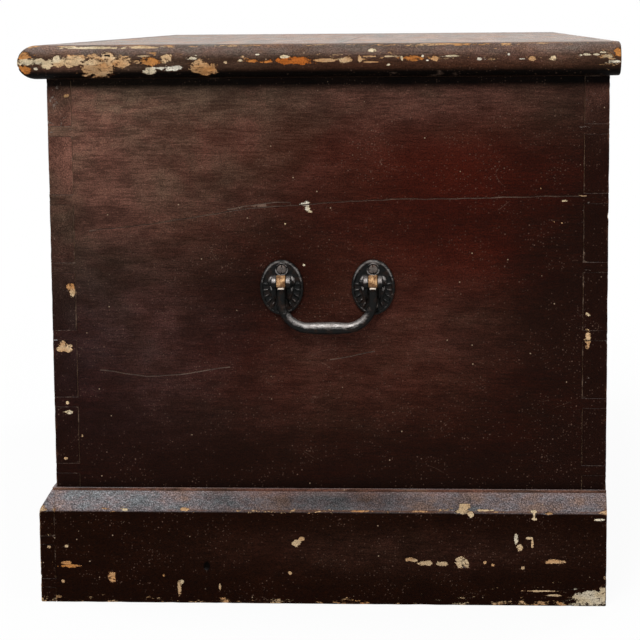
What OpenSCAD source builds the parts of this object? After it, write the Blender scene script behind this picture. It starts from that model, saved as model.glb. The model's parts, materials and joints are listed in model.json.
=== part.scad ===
// Painted pine blanket chest: dovetailed case, moulded plinth, hinged lid with
// bullnose moulding, two drop handles, butt hinges and a chest lock.
// X runs along the chest, the front faces -Y, Z is up and the floor is z = 0.

/* [Case] */
// Length over the end boards
case_l = 960; // [800:20:1200]
// Depth over the front and back boards
case_d = 500; // [440:10:600]
// Height of the case walls
case_h = 484; // [440:4:560]
// Thickness of the case boards
board_t = 22; // [20:1:26]

/* [Dovetails] */
// From the top edge to the middle of the highest pin
first_pin = 54.5; // [45:0.5:60]
// Distance between pins
pin_pitch = 61.5; // [50:0.5:75]
// Width of a pin on the end face
pin_w = 9; // [6:0.5:14]
// Widening of a pin per millimetre of its length
pin_slope = 0.16; // [0.1:0.01:0.2]
// Half pin at the top and bottom edges
half_pin = 8; // [6:0.5:12]

/* [Bottom] */
// Height of the cleats over the floor
cleat_z = 12; // [6:1:24]
// Side of the square cleats
cleat_s = 20; // [16:1:26]
// Thickness of the bottom boards
bottom_t = 16; // [12:1:20]

/* [Plinth] */
// Height of the plinth
plinth_h = 104.5; // [90:0.5:130]
// Thickness of the plinth boards
plinth_t = 14; // [12:1:20]
// Height of the bevel along the top of the plinth
bevel_h = 19; // [14:1:26]
// Thickness left at the top of the bevel
bevel_flat = 3; // [2:0.5:6]
// Height of the upright fillet over the bevel
fillet_h = 2.4; // [1:0.2:5]
// Step from the fillet out to the bevel
quirk = 1; // [0.5:0.1:2]

/* [Lid] */
// Thickness of the lid boards
lid_t = 22; // [20:1:28]
// Overhang of the lid behind the case
lid_back = 8; // [7:0.5:14]
// Height of the lid moulding
mould_h = 30; // [28:1:38]
// Width of the lid moulding
mould_w = 20; // [17:1:28]
// Gap between the moulding and the case
mould_gap = 1.5; // [1:0.1:3]
// Width of a lid batten
batten_w = 44; // [36:2:60]
// Thickness of a lid batten
batten_t = 16; // [12:1:20]
// Distance of a batten from the end of the case
batten_in = 130; // [100:5:200]
// Gap between a batten's end and the case wall
batten_gap = 13; // [8:1:30]

/* [Handles] */
// Height of the handle pins over the floor
handle_z = 294; // [250:2:330]
// Distance between the two roses
handle_pitch = 82; // [76:1:100]
// Width of a rose
rose_w = 39; // [36:1:46]
// Height of a rose
rose_h = 50; // [48:1:60]
// Thickness of a rose
rose_t = 3.2; // [2.8:0.2:4]
// Width of a rose's raised rim
rose_rim = 2.6; // [2:0.2:3.4]
// Depth of a rose's sunk field
rose_sink = 0.8; // [0.4:0.2:1.2]
// From the end board to the handle pin
pin_out = 9.5; // [9.5:0.5:12]
// From the handle pin down to the middle of the bar
bail_drop = 41; // [36:1:50]
// Thickness of the bail's legs
leg_d = 7.6; // [6:0.2:7.8]
// Thickness of the bail's bar in the middle
bar_d = 10.4; // [8.4:0.2:11]
// Bend radius of the bail's corners
bend_r = 25; // [20:1:27]
// Thickness of the handle pin
hpin_d = 4.4; // [4:0.2:5]

/* [Hinges] */
// Distance of a hinge from the middle of the chest
hinge_x = 300; // [240:5:360]
// Length of a hinge
hinge_l = 62; // [50:1:80]
// Width of a hinge leaf
leaf_w = 18; // [16:0.5:19]
// Thickness of a hinge leaf
leaf_t = 2.4; // [2:0.1:3]
// Outside diameter of the hinge knuckle
knuckle_d = 7.2; // [6.4:0.2:7.6]
// Thickness of the hinge pin
pivot_d = 4; // [3:0.2:4.4]

/* [Lock] */
// Width of the lock case
lock_w = 84; // [76:2:100]
// Height of the lock case
lock_h = 56; // [52:2:64]
// Depth of the lock case
lock_d = 14; // [13:0.5:16]
// Radius of the keyhole
key_r = 3; // [2.6:0.1:3.4]
// Travel of the bolt
bolt_travel = 9; // [7:0.5:10]

/* [Hidden] */
$fn = 48;
eps = 0.5;

// Colours of the finishes
paint = "#3b1c16";
bare_pine = "#b98a58";
iron = "#2b2a2a";
worn_brass = "#8a6a3a";

// Clearances
joint_gap = 0.1;
fastener_gap = 0.1;
seat_gap = 0.3;
run_gap = 0.08;
board_gap = 0.6;

// Case planes, with the whole chest centred front to back over the floor
lid_front = mould_gap + mould_w;
total_d = lid_front + case_d + lid_back;
front_y = lid_front - total_d / 2;
back_y = front_y + case_d;
case_mid = (front_y + back_y) / 2;
end_x = case_l / 2;
in_x = end_x - board_t;
in_front = front_y + board_t;
in_back = back_y - board_t;
pin_flare = board_t * pin_slope;

// Bottom boards
board_count = 5;
board_pitch = 2 * in_x / board_count;
bottom_z = cleat_z + cleat_s;
bottom_top = bottom_z + bottom_t;
nail_in = 30;
cleat_mid_z = cleat_z + cleat_s / 2;

// Nails
nail_s = 2.6;
nail_head = 5;
nail_head_t = 1;
nail_bite = 12;
plinth_nail_bite = 14;
moulding_nail_bite = 15;
cleat_nail_l = cleat_s + nail_bite;
bottom_nail_l = bottom_t + nail_bite;
plinth_nail_l = plinth_t + plinth_nail_bite;
moulding_nail_l = mould_w + moulding_nail_bite;
plinth_nail_step = 175;
plinth_nail_y = 116;
plinth_nail_z = 36;
nail_sink = 1.5;

// Plinth joints: the pins of the end plinths show on the front
plinth_pins = [18, 58];
plinth_pin_w = 8;
plinth_flare = 2;
plinth_x = end_x + plinth_t;
plinth_y = front_y - plinth_t;

// Lid planes
lid_z = case_h + seat_gap;
lid_top = lid_z + lid_t;
mould_z = lid_top - mould_h;
lid_x = end_x + mould_gap;
lid_edge_x = lid_x + mould_w;
lid_y0 = front_y - mould_gap;
lid_y1 = back_y + lid_back;
lid_joint_off = 12;
lid_joint_y = case_mid + lid_joint_off;
nose_r = mould_h / 2;
nail_mid_z = lid_z + lid_t / 2;
batten_x = end_x - batten_in;
batten_y0 = in_front + batten_gap;
batten_y1 = in_back - batten_gap;
batten_chamfer = 6;
batten_screw_l = batten_t + nail_bite;
batten_screw_in = 60;

// Hinge
pivot_out = 1;
pivot_y = back_y + pivot_out;
pivot_z = case_h + seat_gap / 2;
knuckle_r = knuckle_d / 2;
knuckle_n = 5;
knuckle_gap = 0.3;
knuckle_l = hinge_l / knuckle_n;
knuckle_clear = knuckle_r + eps;
leaf_y0 = pivot_y - leaf_w;
leaf_screw_in = 10;
leaf_screw_pitch = hinge_l / 2 - leaf_screw_in;
leaf_screw_y = (leaf_y0 + in_back + board_t - knuckle_clear) / 2;
leaf_screw_l = 16;
leaf_screw_r = 1.5;
leaf_head_r = 2.8;

// Handle
rose_drop = 5;
rose_z = handle_z - rose_drop;
rose_screw_rise = 16;
rose_screw_r = 2;
rose_head_r = 4.4;
rose_head_t = 1.6;
rose_screw_l = 18;
ear_t = 4;
eye_w = 8;
eye_r = 5;
ear_r = 5.4;
ear_gap = 0.3;
ear_drop = 10;
heel_top = pin_out - rose_t + rose_sink - ear_gap;
heel_in = 1.6;
heel_out = 3.4;
pin_head_r = 3.2;
pin_head_t = 1;
bar_grip = 14;
rose_round = 1;

// Lock, on the inner face of the front board
lock_sink = 1;
lock_top = case_h - lock_sink;
lock_z0 = lock_top - lock_h;
lock_wall = 2;
lock_y = in_front;
lock_y1 = lock_y + lock_d;
cover_t = 2;
hollow_y0 = lock_y + lock_wall;
hollow_y1 = lock_y1 - cover_t;
bolt_y = (hollow_y0 + hollow_y1) / 2;
flange_w = 12;
key_slot_w = 3;
key_slot_h = 9;
strike_x = 16;
staple_t = 3;
staple_gap = 1.2;
staple_w = hollow_y1 - hollow_y0 - 2 * staple_gap;
staple_wall = 1.6;
eye_drop = 19;
eye_z = lock_top - eye_drop;
eye_h = 8;
staple_end = 3;
staple_z = eye_z - eye_h / 2 - staple_end;
tongue_t = 3;
tongue_h = 5.6;
tongue_l = 12;
tongue_gap = 1.5;
bolt_tip = strike_x - staple_t / 2 - tongue_gap;
bolt_body_l = 34;
bolt_body_h = 20;
bolt_gap = 0.3;
notch_x = 3;
notch_w = 5;
notch_h = 4;
bolt_z0 = eye_z - bolt_body_h / 2;
key_drop = 6;
key_z = bolt_z0 - key_drop;
key_bit = 10;
rail_t = 3;
rail_x1 = -key_bit;
post_s = 6;
cover_screw_r = 1;
cover_screw_l = 6;
lock_screw_r = 1.5;
lock_screw_l = 14;
lock_screw_low = 8;
lock_screw_high = 14;
strike_l = 56;
strike_w = 18;
strike_t = 2;
strike_screw_in = 8;
strike_screw_l = 14;

// Escutcheon
scut_w = 26;
scut_h = 40;
scut_t = 1.2;
scut_z = key_z - 2;
scut_pin_r = 0.9;
scut_pin_rise = 15;
scut_pin_l = 9;

function pin_z(i) = case_h - first_pin - i * pin_pitch;
function pin_count() = floor((case_h - first_pin - half_pin - pin_w - 2 * pin_flare) / pin_pitch) + 1;
function spread(n, from, to) = [for (i = [0 : n - 1]) from + (to - from) * i / (n - 1)];

module block(x0, x1, y0, y1, z0, z1) {
    translate([x0, y0, z0]) cube([x1 - x0, y1 - y0, z1 - z0]);
}

// Turns a flat shape drawn in X and Z into a solid between two Y planes
module slab_xz(y0, y1) {
    translate([0, y1, 0]) rotate([90, 0, 0]) linear_extrude(y1 - y0) children();
}

// Turns a flat shape drawn in Y and Z into a solid between two X planes
module slab_yz(x0, x1) {
    translate([x0, 0, 0]) rotate([90, 0, 90]) linear_extrude(x1 - x0) children();
}

module oval(w, h) {
    polygon([for (a = [0 : 7.5 : 352.5]) [w / 2 * cos(a), h / 2 * sin(a)]]);
}

// Nail along +Z with the top of its head at z = 0
module nail(length, gap = 0) {
    head = nail_head + 2 * gap;
    shank = nail_s + 2 * gap;
    block(-head / 2, head / 2, -head / 2, head / 2, -nail_head_t - gap, gap);
    block(-shank / 2, shank / 2, -shank / 2, shank / 2, -length - gap, 0);
}

// Nail whose head is driven under the surface at z = 0; its hole stays open over the head
module punched_nail(length, gap = 0) {
    head = nail_head + 2 * gap;
    translate([0, 0, -nail_sink]) nail(length, gap);
    if (gap > 0) block(-head / 2, head / 2, -head / 2, head / 2, -nail_sink - gap, eps);
}

// Countersunk screw along -Z with the top of its head at z = 0
module flat_screw(shank_r, head_r, length, gap = 0) {
    sink = head_r - shank_r;
    translate([0, 0, -length - gap]) cylinder(r = shank_r + gap, h = length + gap);
    difference() {
        translate([0, 0, -sink - gap]) cylinder(r1 = shank_r + gap, r2 = head_r + gap, h = sink + gap);
        if (gap == 0) block(-head_r, head_r, -0.4, 0.4, -sink / 2, eps);
    }
}

// Round headed screw along -Z whose head stands on z = 0
module round_screw(shank_r, head_r, head_t, length) {
    translate([0, 0, -length]) cylinder(r = shank_r, h = length + head_t / 2);
    difference() {
        cylinder(r1 = head_r, r2 = head_r * 0.72, h = head_t);
        block(-head_r, head_r, -0.5, 0.5, head_t / 2, head_t + eps);
    }
}

// Case boards

// Section of a dovetail pin, wide at the inner face of the end board
module pin_section(z, w, out) {
    tip = w / 2 - out * pin_slope;
    root = w / 2 + pin_flare;
    polygon([[end_x + out, z - tip], [end_x + out, z + tip], [in_x, z + root], [in_x, z - root]]);
}

module half_pin_sections(w, out) {
    tip = w - out * pin_slope;
    root = w + pin_flare;
    polygon([[end_x + out, -out], [end_x + out, tip], [in_x, root], [in_x, -out]]);
    polygon([[end_x + out, case_h + out], [end_x + out, case_h - tip],
        [in_x, case_h - root], [in_x, case_h + out]]);
}

module pins(gap, out, y0, y1) {
    slab_xz(y0, y1) {
        for (i = [0 : pin_count() - 1]) pin_section(pin_z(i), pin_w + 2 * gap, out);
        half_pin_sections(half_pin + gap, out);
    }
}

module both_ends() {
    children();
    mirror([1, 0, 0]) children();
}

module tail_board(y0) {
    difference() {
        block(-end_x, end_x, y0, y0 + board_t, 0, case_h);
        both_ends() pins(joint_gap, 1, y0 - 1, y0 + board_t + 1);
    }
}

module keyhole() {
    circle(r = key_r);
    translate([-key_slot_w / 2, -key_slot_h]) square([key_slot_w, key_slot_h]);
}

module front_board() {
    color(paint) difference() {
        tail_board(front_y);
        translate([0, 0, key_z]) slab_xz(front_y - 1, in_front + 1) keyhole();
        lock_screw_places() flat_screw(lock_screw_r, leaf_head_r, lock_screw_l, fastener_gap);
        escutcheon_pin_places() cylinder(r = scut_pin_r + fastener_gap, h = 2 * scut_pin_l, center = true);
        plinth_nails_at(fastener_gap);
        cleat_nails_at(fastener_gap);
    }
}

module back_board() {
    color(paint) difference() {
        tail_board(in_back);
        for (x = [-hinge_x, hinge_x]) {
            block(x - hinge_l / 2 - joint_gap, x + hinge_l / 2 + joint_gap, leaf_y0 - joint_gap,
                back_y + 1, case_h - leaf_t - joint_gap, case_h + 1);
            block(x - hinge_l / 2 - eps, x + hinge_l / 2 + eps, pivot_y - knuckle_clear,
                back_y + 1, pivot_z - knuckle_clear, case_h + 1);
        }
        case_leaf_screw_places() flat_screw(leaf_screw_r, leaf_head_r, leaf_screw_l, fastener_gap);
        cleat_nails_at(fastener_gap);
    }
}

module end_board(side) {
    color(paint) difference() {
        mirror([side < 0 ? 1 : 0, 0, 0]) {
            block(in_x, end_x, in_front + joint_gap, in_back - joint_gap, 0, case_h);
            pins(0, 0, front_y, back_y);
        }
        rose_screw_places(side) cylinder(r = rose_screw_r + fastener_gap, h = 2 * rose_screw_l, center = true);
        plinth_nails_at(fastener_gap);
        cleat_nails_at(fastener_gap);
    }
}

// Bottom

module bottom_board(i) {
    x0 = -in_x + (i - 1) * board_pitch + board_gap / 2;
    color(bare_pine) difference() {
        block(x0, x0 + board_pitch - board_gap, in_front + board_gap, in_back - board_gap, bottom_z, bottom_top);
        bottom_nails_at(fastener_gap);
    }
}

module long_cleat(y0) {
    color(bare_pine) difference() {
        block(-in_x + joint_gap, in_x - joint_gap, y0, y0 + cleat_s, cleat_z, bottom_z);
        bottom_nails_at(fastener_gap);
        cleat_nails_at(fastener_gap);
    }
}

module short_cleat(x0) {
    color(bare_pine) difference() {
        block(x0, x0 + cleat_s, in_front + cleat_s + joint_gap, in_back - cleat_s - joint_gap, cleat_z, bottom_z);
        cleat_nails_at(fastener_gap);
    }
}

module cleat_nails_at(gap = 0) {
    for (x = spread(5, -in_x + 2 * nail_in, in_x - 2 * nail_in)) {
        translate([x, in_front + cleat_s, cleat_mid_z]) rotate([-90, 0, 0]) nail(cleat_nail_l, gap);
        translate([x, in_back - cleat_s, cleat_mid_z]) rotate([90, 0, 0]) nail(cleat_nail_l, gap);
    }
    for (y = spread(3, in_front + 2 * nail_in, in_back - 2 * nail_in)) {
        translate([in_x - cleat_s, y, cleat_mid_z]) rotate([0, -90, 0]) nail(cleat_nail_l, gap);
        translate([cleat_s - in_x, y, cleat_mid_z]) rotate([0, 90, 0]) nail(cleat_nail_l, gap);
    }
}

module bottom_nails_at(gap = 0) {
    for (i = [0 : board_count - 1], side = [-1, 1], y = [in_front + cleat_s / 3, in_back - cleat_s / 3])
        translate([-in_x + (i + 0.5) * board_pitch + side * (board_pitch / 2 - nail_in), y, bottom_top])
            nail(bottom_nail_l, gap);
}

module cleat_nails() {
    color(iron) cleat_nails_at();
}

module bottom_board_nails() {
    color(iron) bottom_nails_at();
}

// Plinth

// Outline of the plinth outwards from a wall: an upright face, a bevel, a small step and an upright fillet
plinth_edge = [[plinth_t, 0], [plinth_t, plinth_h - bevel_h], [bevel_flat + quirk, plinth_h - fillet_h],
    [bevel_flat, plinth_h - fillet_h], [bevel_flat, plinth_h]];

// The whole plinth as one block, before it is cut into its three boards
module plinth_block() {
    last = len(plinth_edge) - 1;
    intersection() {
        translate([0, front_y, 0]) mirror([0, 1, 0]) slab_yz(-plinth_x, plinth_x)
            polygon(concat(plinth_edge, [[-case_d, plinth_h], [-case_d, 0]]));
        slab_xz(plinth_y, back_y)
            polygon(concat([for (p = plinth_edge) [end_x + p.x, p.y]],
                [for (i = [last : -1 : 0]) [-end_x - plinth_edge[i].x, plinth_edge[i].y]]));
    }
}

module plinth_pin_sections(gap, out) {
    for (z = plinth_pins) {
        tip = plinth_pin_w / 2 + gap - out * plinth_flare / plinth_t;
        root = plinth_pin_w / 2 + gap + plinth_flare;
        polygon([[plinth_x + out, z - tip], [plinth_x + out, z + tip], [end_x, z + root], [end_x, z - root]]);
    }
}

module front_plinth() {
    color(paint) difference() {
        intersection() {
            plinth_block();
            block(-plinth_x, plinth_x, plinth_y, front_y, 0, plinth_h);
        }
        both_ends() slab_xz(plinth_y - 1, front_y + 1) plinth_pin_sections(joint_gap, 1);
        plinth_nails_at(fastener_gap);
    }
}

module end_plinth(side) {
    color(paint) mirror([side < 0 ? 1 : 0, 0, 0]) difference() {
        union() {
            intersection() {
                plinth_block();
                block(end_x, plinth_x, front_y + joint_gap, back_y, 0, plinth_h);
            }
            slab_xz(plinth_y, front_y + 1) plinth_pin_sections(0, 0);
        }
        plinth_nails_at(fastener_gap);
    }
}

module plinth_nails_at(gap = 0) {
    for (x = [-2 : 2]) translate([x * plinth_nail_step, plinth_y, plinth_nail_z])
        rotate([90, 0, 0]) punched_nail(plinth_nail_l, gap);
    for (side = [-1, 1], end = [-1, 1])
        translate([side * plinth_x, case_mid + end * plinth_nail_y, plinth_nail_z])
            rotate([0, side * 90, 0]) punched_nail(plinth_nail_l, gap);
}

module plinth_nails() {
    color(iron) plinth_nails_at();
}

// Hinges

module on_pivot(x0, x1, r) {
    translate([x0, pivot_y, pivot_z]) rotate([0, 90, 0]) cylinder(r = r, h = x1 - x0);
}

// Hinge leaf: flat between the planes z0 and z1, with the knuckles whose number is first, first + 2, ...
module hinge_leaf(x, first, z0, z1) {
    x0 = x - hinge_l / 2;
    color(iron) difference() {
        union() {
            block(x0, x0 + hinge_l, leaf_y0, pivot_y, z0, z1);
            for (i = [first : 2 : knuckle_n - 1])
                on_pivot(x0 + i * knuckle_l, x0 + (i + 1) * knuckle_l - knuckle_gap, knuckle_r);
        }
        for (i = [0 : knuckle_n - 1]) if (i % 2 != first)
            on_pivot(x0 + i * knuckle_l - knuckle_gap, x0 + (i + 1) * knuckle_l, knuckle_r + knuckle_gap);
        on_pivot(x0 - 1, x0 + hinge_l + 1, pivot_d / 2 + run_gap);
        case_leaf_screw_places() flat_screw(leaf_screw_r, leaf_head_r, leaf_screw_l, fastener_gap);
        lid_leaf_screw_places() flat_screw(leaf_screw_r, leaf_head_r, leaf_screw_l, fastener_gap);
    }
}

module case_leaf(x) {
    hinge_leaf(x, 0, case_h - leaf_t, case_h);
}

module lid_leaf(x) {
    hinge_leaf(x, 1, lid_z, lid_z + leaf_t);
}

module case_leaf_screw_places() {
    for (x = [-hinge_x, hinge_x], i = [-1 : 1])
        translate([x + i * leaf_screw_pitch, leaf_screw_y, case_h]) children();
}

module lid_leaf_screw_places() {
    for (x = [-hinge_x, hinge_x], i = [-1 : 1])
        translate([x + i * leaf_screw_pitch, leaf_screw_y, lid_z]) rotate([180, 0, 0]) children();
}

module hinge_pins() {
    color(iron) for (x = [-hinge_x, hinge_x]) on_pivot(x - hinge_l / 2, x + hinge_l / 2 - knuckle_gap, pivot_d / 2);
}

module hinge_case_screws() {
    color(iron) case_leaf_screw_places() flat_screw(leaf_screw_r, leaf_head_r, leaf_screw_l);
}

module hinge_lid_screws() {
    color(iron) lid_leaf_screw_places() flat_screw(leaf_screw_r, leaf_head_r, leaf_screw_l);
}

// Handles, drawn on the right end; the left one is the same turned half round

module on_end(side) {
    translate([0, case_mid, 0]) rotate([0, 0, side < 0 ? 180 : 0]) translate([end_x, 0, 0]) children();
}

module rose_screw_places(side) {
    on_end(side) for (y = [-handle_pitch / 2, handle_pitch / 2], rise = [-rose_screw_rise, rose_screw_rise])
        translate([rose_t - rose_sink, y, rose_z + rise]) rotate([0, 90, 0]) children();
}

module across_pin(y0, y1, r) {
    translate([pin_out, y1, handle_z]) rotate([90, 0, 0]) cylinder(r = r, h = y1 - y0);
}

// Oval back plate with two ears for the handle pin, end = -1 or 1 along Y
module rose(side, end) {
    y = end * handle_pitch / 2;
    ear_y = eye_w / 2 + ear_gap;
    color(iron) difference() {
        on_end(side) {
            translate([0, y, rose_z]) difference() {
                union() {
                    slab_yz(0, rose_t - rose_round) oval(rose_w, rose_h);
                    slab_yz(0, rose_t) oval(rose_w - 2 * rose_round, rose_h - 2 * rose_round);
                }
                slab_yz(rose_t - rose_sink, rose_t + 1) oval(rose_w - 2 * rose_rim, rose_h - 2 * rose_rim);
            }
            for (s = [-1, 1]) {
                ear0 = y + s * (ear_y + ear_t / 2) - ear_t / 2;
                across_pin(ear0, ear0 + ear_t, ear_r);
                slab_xz(ear0, ear0 + ear_t) polygon([[rose_t / 2, handle_z + ear_r],
                    [pin_out, handle_z + ear_r], [pin_out + ear_r, handle_z],
                    [rose_t / 2, handle_z - ear_r - ear_drop]]);
            }
        }
        on_end(side) across_pin(y - rose_w, y + rose_w, hpin_d / 2 + fastener_gap);
        rose_screw_places(side) cylinder(r = rose_screw_r + fastener_gap, h = 2 * rose_screw_l, center = true);
    }
}

module handle_pins(side) {
    reach = eye_w / 2 + ear_gap + ear_t;
    color(iron) on_end(side) for (y = [-handle_pitch / 2, handle_pitch / 2]) {
        across_pin(y - reach - fastener_gap, y + reach + fastener_gap, hpin_d / 2);
        across_pin(y + reach + fastener_gap, y + reach + fastener_gap + pin_head_t, pin_head_r);
        across_pin(y - reach - fastener_gap - pin_head_t, y - reach - fastener_gap, pin_head_r);
    }
}

module handle_screws(side) {
    color(iron) rose_screw_places(side) round_screw(rose_screw_r, rose_head_r, rose_head_t, rose_screw_l);
}

// One leg of the bail: the eye with its heel, the straight leg and the bend
module bail_leg(end) {
    y = end * handle_pitch / 2;
    bar_z = handle_z - bail_drop;
    bend_z = bar_z + bend_r;
    across_pin(y - eye_w / 2, y + eye_w / 2, eye_r);
    block(pin_out - heel_in, pin_out + heel_out, y - eye_w / 2, y + eye_w / 2, handle_z, handle_z + heel_top);
    translate([pin_out, y, bend_z]) cylinder(d = leg_d, h = handle_z - bend_z);
    translate([pin_out, y - end * bend_r, bend_z]) rotate([90, 0, 90]) rotate([0, 0, end > 0 ? 270 : 180])
        rotate_extrude(angle = 90) translate([bend_r, 0]) circle(d = leg_d);
}

module bail(side) {
    bar_z = handle_z - bail_drop;
    bar_half = handle_pitch / 2 - bend_r;
    color(iron) on_end(side) difference() {
        union() {
            bail_leg(-1);
            bail_leg(1);
            for (end = [-1, 1]) translate([pin_out, end * bar_half, bar_z]) rotate([end * 90, 0, 0])
                cylinder(d1 = leg_d, d2 = bar_d, h = bar_half - bar_grip / 2);
            translate([pin_out, bar_grip / 2, bar_z]) rotate([90, 0, 0]) cylinder(d = bar_d, h = bar_grip);
        }
        across_pin(-handle_pitch, handle_pitch, hpin_d / 2 + run_gap);
    }
}

// Lock

module lock_hollow() {
    block(-lock_w / 2 + lock_wall, lock_w / 2 - lock_wall, hollow_y0, lock_y1 + 1,
        lock_z0 + lock_wall, lock_top - lock_wall);
}

module lock_post_places() {
    for (x = [-1, 1], z = [lock_z0 + lock_wall + post_s / 2, lock_top - lock_wall - post_s / 2])
        translate([x * (lock_w / 2 - lock_wall - post_s / 2), 0, z]) children();
}

module lock_screw_places() {
    for (x = [-1, 1], z = [lock_z0 + lock_screw_low, lock_top - lock_screw_high])
        translate([x * (lock_w + flange_w) / 2, lock_y + lock_wall, z]) rotate([-90, 0, 0]) children();
}

module cover_screw_places() {
    lock_post_places() translate([0, lock_y1, 0]) rotate([-90, 0, 0]) children();
}

module lock_case() {
    color(iron) difference() {
        union() {
            difference() {
                union() {
                    block(-lock_w / 2, lock_w / 2, lock_y, hollow_y1, lock_z0, lock_top);
                    block(-lock_w / 2 - flange_w, lock_w / 2 + flange_w, lock_y, lock_y + lock_wall, lock_z0, lock_top);
                }
                lock_hollow();
            }
            lock_post_places() block(-post_s / 2, post_s / 2, lock_y, hollow_y1, -post_s / 2, post_s / 2);
            for (z = [bolt_z0 - bolt_gap - rail_t, bolt_z0 + bolt_body_h + bolt_gap])
                block(-lock_w / 2, rail_x1, lock_y, hollow_y1, z, z + rail_t);
        }
        block(strike_x - staple_t / 2 - staple_gap, strike_x + staple_t / 2 + staple_gap, hollow_y0, lock_y1 + 1,
            lock_top - lock_wall - 1, lock_top + 1);
        translate([0, 0, key_z]) slab_xz(lock_y - 1, hollow_y0 + 1) keyhole();
        lock_screw_places() flat_screw(lock_screw_r, leaf_head_r, lock_screw_l, fastener_gap);
        cover_screw_places() flat_screw(cover_screw_r, 2 * cover_screw_r, cover_screw_l, fastener_gap);
    }
}

module lock_cover() {
    color(iron) difference() {
        block(-lock_w / 2, lock_w / 2, hollow_y1, lock_y1, lock_z0, lock_top);
        cover_screw_places() flat_screw(cover_screw_r, 2 * cover_screw_r, cover_screw_l, fastener_gap);
    }
}

module lock_cover_screws() {
    color(iron) cover_screw_places() flat_screw(cover_screw_r, 2 * cover_screw_r, cover_screw_l);
}

module lock_screws() {
    color(iron) lock_screw_places() flat_screw(lock_screw_r, leaf_head_r, lock_screw_l);
}

// Sliding bolt: a body between the rails, a tongue for the staple and a notch for the key
module lock_bolt() {
    body_x1 = bolt_tip - tongue_l;
    color(iron) difference() {
        union() {
            block(body_x1 - bolt_body_l, body_x1, hollow_y0 + bolt_gap, hollow_y1 - bolt_gap,
                bolt_z0, bolt_z0 + bolt_body_h);
            block(body_x1 - 1, bolt_tip, bolt_y - tongue_t / 2, bolt_y + tongue_t / 2,
                eye_z - tongue_h / 2, eye_z + tongue_h / 2);
        }
        block(body_x1 - notch_x - notch_w, body_x1 - notch_x, hollow_y0, hollow_y1, bolt_z0 - 1, bolt_z0 + notch_h);
    }
}

module strike_screw_places() {
    for (s = [-1, 1]) translate([strike_x + s * (strike_l / 2 - strike_screw_in), bolt_y, lid_z])
        rotate([180, 0, 0]) children();
}

module lock_strike() {
    staple_eye_w = staple_w - 2 * staple_wall;
    color(iron) difference() {
        union() {
            block(strike_x - strike_l / 2, strike_x + strike_l / 2, bolt_y - strike_w / 2, bolt_y + strike_w / 2,
                lid_z, lid_z + strike_t);
            block(strike_x - staple_t / 2, strike_x + staple_t / 2, bolt_y - staple_w / 2, bolt_y + staple_w / 2,
                staple_z, lid_z + strike_t / 2);
        }
        block(strike_x - staple_t, strike_x + staple_t, bolt_y - staple_eye_w / 2, bolt_y + staple_eye_w / 2,
            eye_z - eye_h / 2, eye_z + eye_h / 2);
        strike_screw_places() flat_screw(lock_screw_r, leaf_head_r, strike_screw_l, fastener_gap);
    }
}

module strike_screws() {
    color(iron) strike_screw_places() flat_screw(lock_screw_r, leaf_head_r, strike_screw_l);
}

// Escutcheon

module escutcheon_pin_places() {
    for (s = [-1, 1]) translate([0, front_y - scut_t, scut_z + s * scut_pin_rise]) rotate([90, 0, 0]) children();
}

module escutcheon() {
    color(worn_brass) difference() {
        translate([0, 0, scut_z]) slab_xz(front_y - scut_t, front_y) oval(scut_w, scut_h);
        translate([0, 0, key_z]) slab_xz(front_y - scut_t - 1, front_y + 1) keyhole();
        escutcheon_pin_places() cylinder(r = scut_pin_r + fastener_gap, h = 2 * scut_pin_l, center = true);
    }
}

module escutcheon_pins() {
    color(worn_brass) escutcheon_pin_places() {
        translate([0, 0, -scut_pin_l]) cylinder(r = scut_pin_r, h = scut_pin_l);
        cylinder(r1 = 2 * scut_pin_r, r2 = scut_pin_r, h = scut_pin_r);
    }
}

// Lid

module lid_cuts() {
    for (x = [-hinge_x, hinge_x]) {
        block(x - hinge_l / 2 - joint_gap, x + hinge_l / 2 + joint_gap, leaf_y0 - joint_gap, pivot_y,
            lid_z - 1, lid_z + leaf_t + joint_gap);
        on_pivot(x - hinge_l / 2 - eps, x + hinge_l / 2 + eps, knuckle_clear);
    }
    block(strike_x - strike_l / 2 - joint_gap, strike_x + strike_l / 2 + joint_gap,
        bolt_y - strike_w / 2 - joint_gap, bolt_y + strike_w / 2 + joint_gap, lid_z - 1, lid_z + strike_t + joint_gap);
    lid_leaf_screw_places() flat_screw(leaf_screw_r, leaf_head_r, leaf_screw_l, fastener_gap);
    strike_screw_places() flat_screw(lock_screw_r, leaf_head_r, strike_screw_l, fastener_gap);
    batten_screw_places() flat_screw(leaf_screw_r, leaf_head_r, batten_screw_l, fastener_gap);
    moulding_nails_at(fastener_gap);
}

module lid_board(y0, y1) {
    color(paint) difference() {
        block(-lid_x, lid_x, y0, y1, lid_z, lid_top);
        lid_cuts();
    }
}

// Section of the moulding from the lid edge outwards, rounded to a full nose
module nose_section() {
    intersection() {
        union() {
            translate([mould_w - nose_r, nose_r]) circle(r = nose_r);
            square([max(mould_w - nose_r, eps), mould_h]);
        }
        square([mould_w, mould_h]);
    }
}

module lid_front_moulding() {
    color(paint) difference() {
        intersection() {
            translate([0, lid_y0, mould_z]) mirror([0, 1, 0]) slab_yz(-lid_edge_x, lid_edge_x) nose_section();
            translate([0, 0, mould_z]) linear_extrude(mould_h) polygon([[-lid_x, lid_y0], [lid_x, lid_y0],
                [lid_edge_x, lid_y0 - mould_w], [-lid_edge_x, lid_y0 - mould_w]]);
        }
        moulding_nails_at(fastener_gap);
    }
}

module end_moulding(side) {
    color(paint) difference() {
        mirror([side < 0 ? 1 : 0, 0, 0]) intersection() {
            translate([lid_x, 0, mould_z]) slab_xz(lid_y0 - mould_w, lid_y1) nose_section();
            translate([0, 0, mould_z]) linear_extrude(mould_h) polygon([[lid_x, lid_y0],
                [lid_x, lid_y1], [lid_edge_x, lid_y1], [lid_edge_x, lid_y0 - mould_w]]);
        }
        moulding_nails_at(fastener_gap);
    }
}

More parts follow.
